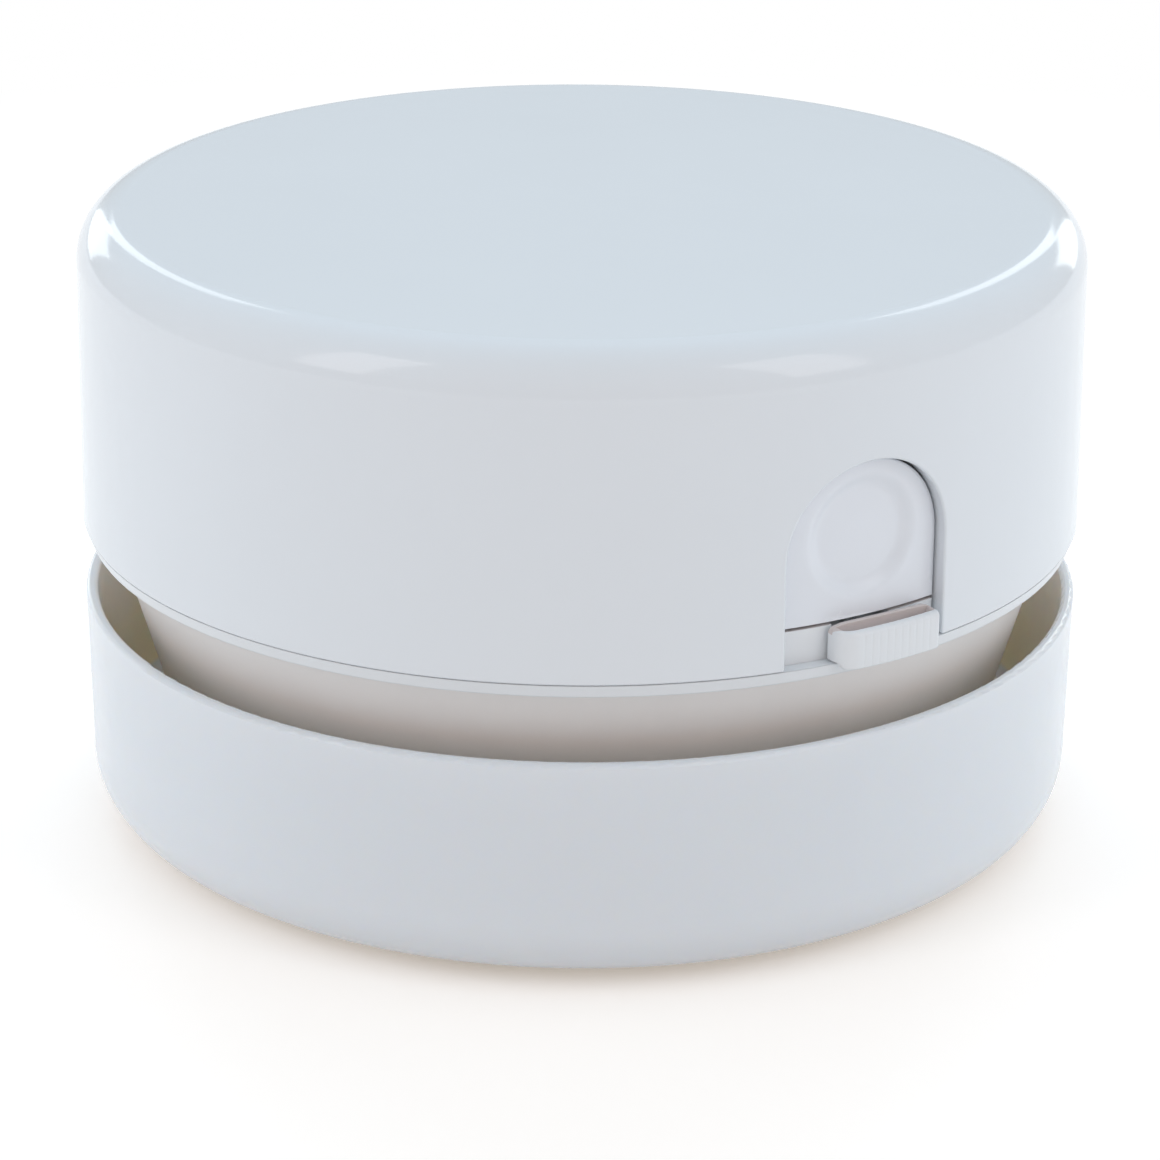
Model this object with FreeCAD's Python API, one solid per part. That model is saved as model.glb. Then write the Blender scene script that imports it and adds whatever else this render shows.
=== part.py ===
import FreeCAD, Part
import math
import os

# Desktop mini vacuum cleaner. Lengths are millimetres, angles are degrees.
# Everything is drawn in the controls' frame: +X points out through the arched opening and +Z is up from
# the table. Saving turns it all, so that the front of the object faces -Y.

Vec = FreeCAD.Vector
UP = Vec(0, 0, 1)
OUT = Vec(1, 0, 0)
ORIGIN = Vec(0, 0, 0)
FULL_TURN = 360.0
HALF_TURN = 180.0
QUARTER_TURN = 90.0

# Where the controls sit: degrees round from the front, towards the right
control_azimuth = 31.9

# Heights of the two halves, from the table up
foot_proud = 1.0
cup_height = 19.65
exhaust_gap = 5.6
lip_thickness = 1.1
seam_gap = 0.25
cover_height = 26.6

# Outer walls of the two halves, from the radius that the battery tray's corners need
tray_room = 1.377
cover_draft = 0.3
lip_inset = 0.1
lip_slant = 0.4
rim_inset = 0.05
cup_draft = 0.3

# Walls
cover_wall = 1.8
cover_roof = 2.0
cover_round = 4.2
rim_wall = 1.0
cup_wall = 1.75
cup_round = 5.0
cup_inner_round = 2.5
edge_round = 0.35

# Fits
slip_gap = 0.3
seat_gap = 0.25
snug_gap = 0.1
press_gap = 0.02
overrun = 2.0

# Cup floor, and the dust tray on it with the collar that the fan housing plugs into
recess_depth = 2.0
foot_land = 6.85
inner_floor = 1.6
collar_height = 6.9
trough_width = 4.2
collar_wall = 1.5
collar_round = 0.3

# Intake nozzle
mouth_radius = 7.0
nozzle_wall = 1.4
nozzle_flange_radius = 11.5
nozzle_flange = 1.2
nozzle_rise = 4.4

# Base plate, brush and feet
plate_sink = 0.4
plate_land = 3.95
brush_width = 5.7
brush_ring_thickness = 1.0
brush_groove = 0.8
tuft_radius = 0.7
tuft_seat = 0.7
tuft_clear = 0.25
tuft_count = 36
foot_radius = 2.6
foot_inset = 0.7
foot_recess = 0.4
foot_count = 4

# Fan housing: cone, spigot, seal and inlet plate
cone_inset = 2.6
cone_wall = 1.65
shoulder_width = 1.2
spigot_depth = 4.5
spigot_wall = 1.5
seal_height = 1.0
seal_depth = 0.8
seal_drop = 2.0
ledge_rise = 3.7
inlet_thickness = 1.2
eye_radius = 13.0
eye_lip_wall = 1.2
eye_lip_drop = 1.2
vent_width = 2.0
vent_margin = 1.6
vent_pitch_angle = 6.5
vent_count = 19
vent_skip_angle = 6.0

# Filter in the spigot's bore
filter_ring_wall = 1.9
filter_ring_height = 3.0
filter_rib = 1.4
filter_rib_height = 1.2
filter_hub_radius = 4.0
filter_rise = 3.6
filter_spokes = 6
cloth_thickness = 1.5

# Deck
deck_thickness = 1.8
ring_wall = 1.6
ring_height = 2.95
boss_radius = 2.2
boss_length = 2.4
cover_rib_width = 1.6
cover_rib_depth = 1.6
cover_rib_headroom = 1.55
cover_rib_angles = (60.0, 120.0, 240.0, 300.0)

# Screws
screw_radius = 0.8
screw_hole_radius = 1.1
head_radius = 1.9
head_height = 1.1
driver_width = 0.45
driver_depth = 0.5
cone_boss_radius = 2.4
cone_screw_inset = 1.8
cone_screw_angles = (31.0, 149.0, 211.0, 329.0)
cone_screw_reach = 7.0
deck_screw_reach = 2.6
base_screw_land = 2.15
base_screw_count = 3
base_screw_reach = 3.8
base_boss_height = 2.4
head_sink = 0.15

# Motor: a flat-sided can standing in a well of the deck
motor_radius = 10.05
motor_flat = 7.55
motor_sink = 2.95
motor_cap_height = 4.8
motor_sheet = 0.8
motor_shaft_radius = 1.0
motor_bush_radius = 3.05
motor_bush_proud = 1.4
motor_bush_inside = 1.0
motor_bore_gap = 0.05
well_wall = 1.2
well_floor = 1.6
magnet_thickness = 2.3
magnet_overhang = 1.0
armature_air_gap = 0.73
armature_head_room = 4.3
armature_lift = 4.0
armature_poles = 3
armature_slot = 1.8
armature_web_radius = 3.2
commutator_radius = 2.3
commutator_height = 2.8
commutator_gap = 0.6
brush_pocket_radius = 5.0
brush_pocket_depth = 2.8
cap_bore_depth = 3.8
terminal_width = 2.0
terminal_thickness = 0.5
terminal_length = 2.2
terminal_root = 0.6
terminal_offset = 4.7
terminal_drop = 3.2
clamp_sheet = 0.8
clamp_width = 6.0
clamp_foot = 7.6
clamp_gap = 0.2
clamp_screw_reach = 4.65
roof_clearance = 1.0

# Impeller
impeller_room = 5.2
impeller_disc = 1.2
impeller_hub_radius = 3.4
impeller_gap = 0.7
blade_thickness = 1.1
blade_inner_radius = 9.0
blade_sweep_angle = 48.0
blade_gap = 0.8
blade_count = 9

# AA cells in their tray, one each side of the motor
cell_radius = 7.1
cell_length = 49.2
cell_nub_radius = 2.7
cell_nub = 1.0
cell_rim_round = 0.6
cell_gap = 0.25
tray_wall = 1.0
tray_floor = 1.0
tray_wall_height = 8.6
tray_end_room = 3.4
tray_bay_half = 8.2
tray_window_share = 0.62
tray_tab_half = 3.0
tray_screw_inset = 3.0
contact_sheet = 0.4
contact_half_width = 5.0
contact_tab_half = 1.2
contact_tab_rise = 2.6
spring_outer_radius = 3.6
spring_inner_radius = 2.0
spring_seat = 0.1

# Arched opening and the push key in it
opening_half_width = 7.6
opening_rise = 16.1
key_gap = 0.2
key_recess = 1.3
key_bottom_rise = 2.85
key_body = 2.1
key_flange = 1.0
key_flange_edge = 0.65
key_travel_room = 1.2
dimple_radius = 5.4
dimple_flat_radius = 3.7
dimple_depth = 0.66
dimple_rise = 6.75

# Slide knob and the sill behind it
knob_left = 3.35
knob_right = 6.3
knob_proud = 1.3
knob_gap = 0.2
knob_overhang = 0.3
knob_corner = 1.6
knob_right_corner = 0.5
knob_rim = 0.62
knob_back_wall = 0.35
knob_pocket_depth = 1.25
knob_pocket_left = 1.0
knob_pocket_right = 0.7
knob_neck_half = 1.0
knob_neck_drop = 0.6
knob_travel = 3.0
knob_socket_half = 1.8
knob_socket_length = 2.6
shutter_thickness = 0.4
shutter_back = 0.45
shutter_reach = 2.9
knob_rib_pitch = 0.72
knob_rib_width = 0.28
knob_rib_depth = 0.25
knob_rib_count = 11
sill_wall = 1.6
rail_thickness = 1.3
rail_rise = 12.9
rail_gap = 0.2
bezel_foot_width = 4.3
bezel_foot_length = 5.2
bezel_foot_back = 3.5
bezel_foot_thickness = 1.2
bezel_screw_inset = 2.1

# Switch board with its two switches
board_thickness = 1.2
board_height = 14.2
switch_depth = 3.0
switch_length = 8.8
switch_height = 2.8
switch_sheet = 0.4
lever_half = 0.75
lever_height = 0.9
lever_root = 1.6
tact_side = 6.0
tact_depth = 3.5
tact_plunger_radius = 1.75
tact_bore_depth = 2.5
plunger_inside = 1.5

# Leads, and where they are soldered to the board
lead_radius = 0.6
board_pad_offset = 4.6
board_pad_rise = 9.6

# Shares: how far an arc reaches along its run, where a blade bends, and what counts as upright
arc_share = 0.45
blade_lead_share = 0.36
upright_share = 0.9

# Half sizes of the battery tray, and the radii that follow from it
cell_x = tray_bay_half + tray_wall + cell_gap + cell_radius
tray_half_x = cell_x + cell_radius + cell_gap + tray_wall
pocket_half_y = cell_length / 2 + tray_end_room
tray_half_y = pocket_half_y + tray_wall
tray_screw_offset = tray_half_y - tray_screw_inset
deck_radius = math.hypot(tray_half_x, tray_half_y) + tray_room + ring_wall
cover_radius = deck_radius + slip_gap + cover_wall
lip_radius = cover_radius - lip_inset
cup_rim_radius = cover_radius - rim_inset
cup_low_radius = cup_rim_radius - cup_draft
cone_top_radius = cover_radius - cone_inset
collar_radius = cup_low_radius - cup_wall - trough_width
collar_bore = collar_radius - collar_wall
spigot_radius = collar_bore - slip_gap
spigot_bore = spigot_radius - spigot_wall
cone_low_radius = spigot_radius + shoulder_width
cone_screw_ring = cone_low_radius - cone_screw_inset
impeller_radius = cone_screw_ring - cone_boss_radius - impeller_room
recess_radius = cup_low_radius - cup_round - foot_land
foot_ring_radius = recess_radius + foot_inset + foot_radius
brush_radius = recess_radius - slip_gap - plate_land - brush_width / 2
groove_inner = brush_radius - brush_width / 2 - snug_gap
groove_outer = brush_radius + brush_width / 2 + snug_gap
base_screw_ring = groove_inner - base_screw_land - head_radius
nozzle_radius = mouth_radius + nozzle_wall
nozzle_bore = nozzle_radius + seat_gap

# Places worked out from the sizes above, from the table up
cup_bottom_z = foot_proud
cup_rim_z = cup_bottom_z + cup_height
lip_bottom_z = cup_rim_z + exhaust_gap
lip_top_z = lip_bottom_z + lip_thickness
cover_bottom_z = lip_top_z + seam_gap
cover_top_z = cover_bottom_z + cover_height
roof_z = cover_top_z - cover_roof
floor_under_z = cup_bottom_z + recess_depth
floor_top_z = floor_under_z + inner_floor
collar_top_z = floor_top_z + collar_height
spigot_bottom_z = collar_top_z - spigot_depth
ledge_z = collar_top_z + ledge_rise
inlet_top_z = ledge_z + inlet_thickness
cone_slope = (cone_top_radius - cone_low_radius) / (lip_bottom_z - collar_top_z)
deck_top_z = lip_bottom_z + deck_thickness
plate_bottom_z = cup_bottom_z + plate_sink
base_boss_top_z = floor_top_z + base_boss_height

motor_top_z = roof_z - roof_clearance - clamp_sheet - clamp_gap
motor_cap_z = motor_top_z - motor_cap_height
motor_bottom_z = deck_top_z - motor_sink
magnet_radius = motor_radius - motor_sheet - press_gap
armature_radius = magnet_radius - magnet_thickness - armature_air_gap
armature_low_z = motor_bottom_z + armature_lift
armature_high_z = motor_cap_z - armature_head_room
clamp_inner = motor_radius + snug_gap
clamp_outer = clamp_inner + clamp_sheet
clamp_screw_offset = clamp_outer + clamp_screw_reach
terminal_face = motor_flat - snug_gap
terminal_tip = terminal_face + terminal_length
terminal_low_z = motor_top_z - terminal_drop
terminal_z = terminal_low_z + terminal_thickness / 2
well_bottom_z = motor_bottom_z - well_floor
disc_top_z = well_bottom_z - impeller_gap
disc_bottom_z = disc_top_z - impeller_disc
blade_bottom_z = inlet_top_z + blade_gap
shaft_bottom_z = blade_bottom_z + blade_gap

cell_z = deck_top_z + tray_floor + cell_gap + cell_radius
tray_top_z = deck_top_z + tray_floor + tray_wall_height
tab_y = pocket_half_y - contact_sheet / 2
tab_top_z = tray_top_z + contact_tab_rise

arch_top_z = cover_bottom_z + opening_rise
key_radius = cover_radius - key_recess
key_half_width = opening_half_width - key_gap
key_bottom_z = cover_bottom_z + key_bottom_rise
key_front_x = key_radius - key_body
key_back_x = key_front_x - key_flange
flange_half_width = key_half_width + key_flange_edge
dimple_z = key_bottom_z + dimple_rise
sill_bore = key_radius - sill_wall
sill_top_z = key_bottom_z - seat_gap
knob_bottom_z = lip_top_z + knob_gap
knob_top_z = sill_top_z
knob_front_radius = cover_radius + knob_proud
knob_middle = (knob_right - knob_left) / 2
rail_inner = flange_half_width + rail_gap
rail_outer = rail_inner + rail_thickness
rail_top_z = deck_top_z + rail_rise
tact_front_x = key_back_x - key_travel_room
board_front_x = tact_front_x - tact_depth
board_back_x = board_front_x - board_thickness
board_bottom_z = deck_top_z + seat_gap
board_top_z = board_bottom_z + board_height
board_pad_z = board_bottom_z + board_pad_rise
board_half_width = rail_inner - seat_gap
switch_middle = knob_middle - knob_travel / 2
switch_front_x = board_front_x + switch_depth
switch_top_z = board_bottom_z + switch_height
neck_bottom_z = deck_top_z + seat_gap
lever_z = (neck_bottom_z + knob_top_z) / 2
bezel_foot_x = board_back_x - bezel_foot_back


def box(x0, x1, y0, y1, z0, z1):
    """A box between two corners."""
    return Part.makeBox(x1 - x0, y1 - y0, z1 - z0, Vec(x0, y0, z0))


def side_box(side, x0, x1, near_y, far_y, z0, z1):
    """A box on one side of the middle plane; side is 1 or -1."""
    y0, y1 = sorted((side * near_y, side * far_y))
    return box(x0, x1, y0, y1, z0, z1)


def rod(radius, z0, z1, x=0, y=0):
    """A vertical cylinder."""
    return Part.makeCylinder(radius, z1 - z0, Vec(x, y, z0))


def pin(radius, x0, x1, y=0, z=0):
    """A cylinder that points out along +X."""
    return Part.makeCylinder(radius, x1 - x0, Vec(x0, y, z), OUT)


def ring(inner, outer, z0, z1):
    """A flat-ended ring round the axis."""
    return rod(outer, z0, z1).cut(rod(inner, z0 - overrun, z1 + overrun))


def round_the_axis(shape, angle):
    """A copy turned about the vertical axis."""
    turned = shape.copy()
    turned.rotate(ORIGIN, UP, angle)
    return turned


def on_circle(radius, angle):
    """X and Y of a place on a circle about the axis."""
    return radius * math.cos(math.radians(angle)), radius * math.sin(math.radians(angle))


def rounded_wire(corners, place):
    """A closed wire through (a, b, round) corners, each rounded by a tangent arc; place makes 3-D points."""
    edges = []
    joins = []
    count = len(corners)
    for i, (a, b, radius) in enumerate(corners):
        here = Vec(a, b, 0)
        back = Vec(*corners[i - 1][:2], 0).sub(here).normalize()
        ahead = Vec(*corners[(i + 1) % count][:2], 0).sub(here).normalize()
        if radius == 0:
            joins.append((here, here, here))
            continue
        half = back.getAngle(ahead) / 2
        reach = radius / math.tan(half)
        middle = back.add(ahead).normalize().multiply(radius / math.sin(half) - radius)
        joins.append((here.add(back.multiply(reach)), here.add(middle), here.add(ahead.multiply(reach))))
    for i, (start, middle, end) in enumerate(joins):
        following = joins[(i + 1) % count][0]
        if start != end:
            edges.append(Part.Arc(place(start), place(middle), place(end)).toShape())
        if end.distanceToPoint(following) > press_gap / 2:
            edges.append(Part.LineSegment(place(end), place(following)).toShape())
    return Part.Wire(edges)


def revolved(corners):
    """A solid of revolution from (radius, height, round) corners."""
    wire = rounded_wire(corners, lambda p: Vec(p.x, 0, p.y))
    return Part.Face(wire).revolve(ORIGIN, UP, FULL_TURN)


def arch_prism(half_width, bottom_z, top_z, x0, x1):
    """A round-topped doorway shape in the YZ plane, pushed out along +X."""
    spring_z = top_z - half_width
    foot_left = Vec(x0, -half_width, bottom_z)
    foot_right = Vec(x0, half_width, bottom_z)
    spring_left = Vec(x0, -half_width, spring_z)
    spring_right = Vec(x0, half_width, spring_z)
    crown = Vec(x0, 0, top_z)
    wire = Part.Wire([
        Part.LineSegment(foot_left, foot_right).toShape(),
        Part.LineSegment(foot_right, spring_right).toShape(),
        Part.Arc(spring_right, crown, spring_left).toShape(),
        Part.LineSegment(spring_left, foot_left).toShape(),
    ])
    return Part.Face(wire).extrude(Vec(x1 - x0, 0, 0))


def screw(head_z, reach, x, y, facing):
    """A pan-head screw; facing +1 has its head on top of head_z, -1 has it hanging below."""
    low, high = sorted((head_z, head_z + facing * head_height))
    head = rod(head_radius, low, high, x, y)
    tip_low, tip_high = sorted((head_z, head_z - facing * reach))
    shank = rod(screw_radius, tip_low, tip_high, x, y)
    face_z = head_z + facing * head_height
    cut_low, cut_high = sorted((face_z - facing * driver_depth, face_z + facing * overrun))
    arm = head_radius - edge_round
    half = driver_width / 2
    cross = box(x - arm, x + arm, y - half, y + half, cut_low, cut_high)
    cross = cross.fuse(box(x - half, x + half, y - arm, y + arm, cut_low, cut_high))
    return head.fuse(shank).cut(cross).removeSplitter()


def tube_along(points, radius, name):
    """A round tube along straight runs that are joined by tangent arcs as large as the runs allow."""
    places = [Vec(*p) for p in points]
    edges = []
    radii = []
    start = places[0]
    for before, here, after in zip(places, places[1:], places[2:]):
        back = before.sub(here)
        ahead = after.sub(here)
        half_turn = (math.pi - back.getAngle(ahead)) / 2
        reach = arc_share * min(back.Length, ahead.Length)
        arc_radius = reach / math.tan(half_turn)
        back.normalize()
        ahead.normalize()
        depth = arc_radius / math.cos(half_turn) - arc_radius
        middle = here.add(back.add(ahead).normalize().multiply(depth))
        leave = here.add(back.multiply(reach))
        meet = here.add(ahead.multiply(reach))
        edges.append(Part.LineSegment(start, leave).toShape())
        edges.append(Part.Arc(leave, middle, meet).toShape())
        radii.append(round(arc_radius, 1))
        start = meet
    edges.append(Part.LineSegment(start, places[-1]).toShape())
    path = Part.Wire(edges)
    section = Part.Wire([Part.Circle(places[0], places[1].sub(places[0]), radius).toShape()])
    tube = path.makePipeShell([section], True, False)
    ideal = path.Length * math.pi * radius ** 2
    print(name, "radii", radii, "volume over ideal", round(tube.Volume / ideal, 4))
    return tube


def measured_from(place, steps):
    """Points of a lead's route, each given as its steps away from a place."""
    return [[here + away for here, away in zip(place, step)] for step in steps]


def can_prism(grow, z0, z1):
    """The motor's flat-sided outline, grown all round."""
    flat = motor_flat + grow
    side = motor_radius + grow
    return rod(side, z0, z1).common(box(-flat, flat, -side, side, z0, z1))


def save(name, shape):
    """Turns a finished piece from the controls' frame to the object's and writes it."""
    turned = round_the_axis(shape, control_azimuth - QUARTER_TURN)
    turned.exportStep("parts/" + name + ".step")
    state = "valid" if shape.isValid() else "BAD"
    print(name, len(shape.Solids), "solids", round(shape.Volume, 1), "mm3", state)


def make_dust_cup():
    """The white cup: outer wall and a flat ring of floor, open in the middle for the base plate."""
    cup = revolved([
        (recess_radius, cup_bottom_z, 0),
        (cup_low_radius, cup_bottom_z, cup_round),
        (cup_rim_radius, cup_rim_z, edge_round),
        (cup_rim_radius - rim_wall, cup_rim_z, edge_round),
        (cup_low_radius - cup_wall, floor_under_z, cup_inner_round),
        (recess_radius, floor_under_z, 0),
    ])
    for i in range(foot_count):
        x, y = on_circle(foot_ring_radius, (i + 1 / 2) * FULL_TURN / foot_count)
        cup = cup.cut(rod(foot_radius + press_gap, cup_bottom_z - overrun, cup_bottom_z + foot_recess, x, y))
    return cup.removeSplitter()


def make_dust_tray():
    """The tray on the cup's floor that catches the dust, with its collar and the base plate's bosses."""
    tray = revolved([
        (nozzle_bore, floor_under_z, 0),
        (collar_radius, floor_under_z, 0),
        (collar_radius, collar_top_z, collar_round),
        (collar_bore, collar_top_z, collar_round),
        (collar_bore, floor_top_z, collar_round),
        (nozzle_bore, floor_top_z, 0),
    ])
    pilot_top_z = base_boss_top_z - edge_round
    for i in range(base_screw_count):
        x, y = on_circle(base_screw_ring, i * FULL_TURN / base_screw_count)
        tray = tray.fuse(rod(boss_radius, floor_top_z, base_boss_top_z, x, y))
        tray = tray.cut(rod(screw_radius + press_gap, floor_under_z - overrun, pilot_top_z, x, y))
    return tray.removeSplitter()


def make_rubber_feet():
    """Pads that lift the cup off the table."""
    feet = []
    for i in range(foot_count):
        x, y = on_circle(foot_ring_radius, (i + 1 / 2) * FULL_TURN / foot_count)
        feet.append(rod(foot_radius, 0, cup_bottom_z + foot_recess, x, y))
    return Part.makeCompound(feet)


def make_intake_nozzle():
    """The chimney that dust comes up through, flanged onto the tray's floor."""
    top_z = floor_top_z + nozzle_rise
    return revolved([
        (mouth_radius, plate_bottom_z, edge_round),
        (nozzle_radius, plate_bottom_z, 0),
        (nozzle_radius, floor_top_z, 0),
        (nozzle_flange_radius, floor_top_z, 0),
        (nozzle_flange_radius, floor_top_z + nozzle_flange, edge_round),
        (nozzle_radius, floor_top_z + nozzle_flange, 0),
        (nozzle_radius, top_z, edge_round),
        (mouth_radius, top_z, edge_round),
    ])


def make_base_plate():
    """The round plate on the underside, grooved for the brush ring."""
    outer = recess_radius - slip_gap
    groove_z = plate_bottom_z + brush_groove
    plate = revolved([
        (nozzle_bore, plate_bottom_z, 0),
        (groove_inner, plate_bottom_z, 0),
        (groove_inner, groove_z, 0),
        (groove_outer, groove_z, 0),
        (groove_outer, plate_bottom_z, 0),
        (outer, plate_bottom_z, edge_round),
        (outer, floor_under_z, 0),
        (nozzle_bore, floor_under_z, 0),
    ])
    seat_z = plate_bottom_z + head_sink + head_height
    for i in range(base_screw_count):
        x, y = on_circle(base_screw_ring, i * FULL_TURN / base_screw_count)
        plate = plate.cut(rod(screw_hole_radius, plate_bottom_z - overrun, floor_under_z + overrun, x, y))
        plate = plate.cut(rod(head_radius + snug_gap, plate_bottom_z - overrun, seat_z, x, y))
    return plate


def make_base_screws():
    """Screws that hold the base plate, heads down."""
    seat_z = plate_bottom_z + head_sink + head_height
    screws = []
    for i in range(base_screw_count):
        x, y = on_circle(base_screw_ring, i * FULL_TURN / base_screw_count)
        screws.append(screw(seat_z, base_screw_reach, x, y, -1))
    return Part.makeCompound(screws)


def tuft_rods(radius, z0, z1):
    """The places of the brush's tufts, as rods."""
    rods = []
    for i in range(tuft_count):
        x, y = on_circle(brush_radius, i * FULL_TURN / tuft_count)
        rods.append(rod(radius, z0, z1, x, y))
    return Part.makeCompound(rods)


def make_brush():
    """The brush ring in the base plate's groove, and its tufts."""
    ring_top_z = plate_bottom_z + brush_groove
    ring_bottom_z = ring_top_z - brush_ring_thickness
    hole_z = ring_bottom_z + tuft_seat
    half = brush_width / 2
    carrier = ring(brush_radius - half, brush_radius + half, ring_bottom_z, ring_top_z)
    carrier = carrier.cut(tuft_rods(tuft_radius + press_gap, ring_bottom_z - overrun, hole_z))
    return carrier, tuft_rods(tuft_radius, tuft_clear, hole_z)


def cone_bosses(radius, z0, z1):
    """Rods at the four screws that join the fan cone to the deck."""
    rods = []
    for angle in cone_screw_angles:
        x, y = on_circle(cone_screw_ring, angle)
        rods.append(rod(radius, z0, z1, x, y))
    return Part.makeCompound(rods)


def make_fan_cone():
    """The grey cone in the gap, with a spigot below, a ledge inside and exhaust vents at the back."""
    seal_top_z = collar_top_z - seal_drop
    seal_bottom_z = seal_top_z - seal_height - snug_gap
    groove = spigot_radius - seal_depth
    ledge_outer = cone_low_radius + cone_slope * ledge_rise - cone_wall
    cone = revolved([
        (cone_top_radius, lip_bottom_z, 0),
        (cone_low_radius, collar_top_z, 0),
        (spigot_radius, collar_top_z, 0),
        (spigot_radius, seal_top_z, 0),
        (groove, seal_top_z, 0),
        (groove, seal_bottom_z, 0),
        (spigot_radius, seal_bottom_z, 0),
        (spigot_radius, spigot_bottom_z, edge_round),
        (spigot_bore, spigot_bottom_z, edge_round),
        (spigot_bore, ledge_z, 0),
        (ledge_outer, ledge_z, 0),
        (cone_top_radius - cone_wall, lip_bottom_z, 0),
    ])
    cone = cone.fuse(cone_bosses(cone_boss_radius, ledge_z, lip_bottom_z))
    pilot_z = lip_bottom_z - cone_screw_reach - edge_round
    cone = cone.cut(cone_bosses(screw_radius + press_gap, pilot_z, lip_bottom_z + overrun))
    vents = []
    back = HALF_TURN - control_azimuth
    half = vent_width / 2
    for i in range(vent_count):
        angle = back + (i - (vent_count - 1) / 2) * vent_pitch_angle
        nearest = min(abs(angle - screw_angle) for screw_angle in cone_screw_angles)
        if nearest > vent_skip_angle:
            vent = box(cone_low_radius - cone_wall, cone_top_radius + overrun, -half, half,
                       inlet_top_z + vent_margin, lip_bottom_z - vent_margin)
            vents.append(round_the_axis(vent, angle))
    return cone.cut(Part.makeCompound(vents)).removeSplitter()


def make_seal_ring():
    """The rubber ring in the spigot's groove that grips the collar."""
    top_z = collar_top_z - seal_drop - snug_gap / 2
    inner = spigot_radius - seal_depth + snug_gap / 2
    return ring(inner, collar_bore - snug_gap, top_z - seal_height, top_z)


def make_inlet_plate():
    """The plate under the fan, with a lipped eye that the air comes up through."""
    ledge_outer = cone_low_radius + cone_slope * ledge_rise - cone_wall
    plate = revolved([
        (eye_radius, ledge_z - eye_lip_drop, edge_round),
        (eye_radius + eye_lip_wall, ledge_z - eye_lip_drop, edge_round),
        (eye_radius + eye_lip_wall, ledge_z, 0),
        (ledge_outer - snug_gap, ledge_z, 0),
        (ledge_outer - snug_gap, inlet_top_z, 0),
        (eye_radius, inlet_top_z, edge_round),
    ])
    return plate.cut(cone_bosses(cone_boss_radius + seat_gap, ledge_z - overrun, inlet_top_z + overrun))


def make_filter():
    """The filter frame in the spigot's bore, and the cloth that lies on its spokes."""
    bottom_z = spigot_bottom_z + filter_rise
    outer = spigot_bore - snug_gap
    inner = outer - filter_ring_wall
    spoke_top_z = bottom_z + filter_rib_height
    frame = ring(inner, outer, bottom_z, bottom_z + filter_ring_height)
    frame = frame.fuse(rod(filter_hub_radius, bottom_z, spoke_top_z))
    for i in range(filter_spokes):
        spoke = box(0, inner + filter_ring_wall / 2, -filter_rib / 2, filter_rib / 2, bottom_z, spoke_top_z)
        frame = frame.fuse(round_the_axis(spoke, i * FULL_TURN / filter_spokes))
    cloth = rod(inner - snug_gap, spoke_top_z, spoke_top_z + cloth_thickness)
    return frame.removeSplitter(), cloth


def make_chassis_deck():
    """The deck between the halves: lip, cover ring, motor well and screw bosses."""
    ring_top_z = deck_top_z + ring_height
    deck = revolved([
        (0, lip_bottom_z, 0),
        (lip_radius - lip_slant, lip_bottom_z, 0),
        (lip_radius, lip_top_z, 0),
        (deck_radius, lip_top_z, 0),
        (deck_radius, ring_top_z, edge_round),
        (deck_radius - ring_wall, ring_top_z, edge_round),
        (deck_radius - ring_wall, deck_top_z, 0),
        (0, deck_top_z, 0),
    ])
    bay = rail_outer + seat_gap
    deck = deck.cut(box(board_back_x, cover_radius, -bay, bay, deck_top_z, ring_top_z + overrun))
    deck = deck.fuse(can_prism(seat_gap + well_wall, well_bottom_z, deck_top_z))
    for x, y in deck_screw_places():
        deck = deck.fuse(rod(boss_radius, lip_bottom_z - boss_length, deck_top_z, x, y))
    deck = deck.cut(can_prism(seat_gap, motor_bottom_z, deck_top_z + overrun))
    deck = deck.cut(rod(motor_bush_radius + seat_gap, well_bottom_z - overrun, motor_bottom_z + overrun))
    deck = deck.cut(cone_bosses(screw_hole_radius, lip_bottom_z - overrun, deck_top_z + overrun))
    for x, y in deck_screw_places():
        low_z = lip_bottom_z - boss_length + edge_round
        deck = deck.cut(rod(screw_radius + press_gap, low_z, deck_top_z + overrun, x, y))
    return deck.removeSplitter()


def clamp_screw_places():
    """Either side of the motor."""
    return [(0, -clamp_screw_offset), (0, clamp_screw_offset)]


def tray_screw_places():
    """At the two ends of the bay between the cells."""
    return [(0, -tray_screw_offset), (0, tray_screw_offset)]


def bezel_screw_places():
    """In the bezel's two feet."""
    x = bezel_foot_x + bezel_foot_length / 2
    y = rail_outer + bezel_screw_inset
    return [(x, -y), (x, y)]


def deck_screw_places():
    """Every screw that goes down into a boss under the deck."""
    return clamp_screw_places() + tray_screw_places() + bezel_screw_places()


def screws_at(places, head_z, reach):
    """A group of screws, heads up."""
    return Part.makeCompound([screw(head_z, reach, x, y, 1) for x, y in places])


def make_cone_screws():
    """Screws through the deck into the cone's bosses."""
    places = [on_circle(cone_screw_ring, angle) for angle in cone_screw_angles]
    return screws_at(places, deck_top_z, cone_screw_reach + deck_thickness)


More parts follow.
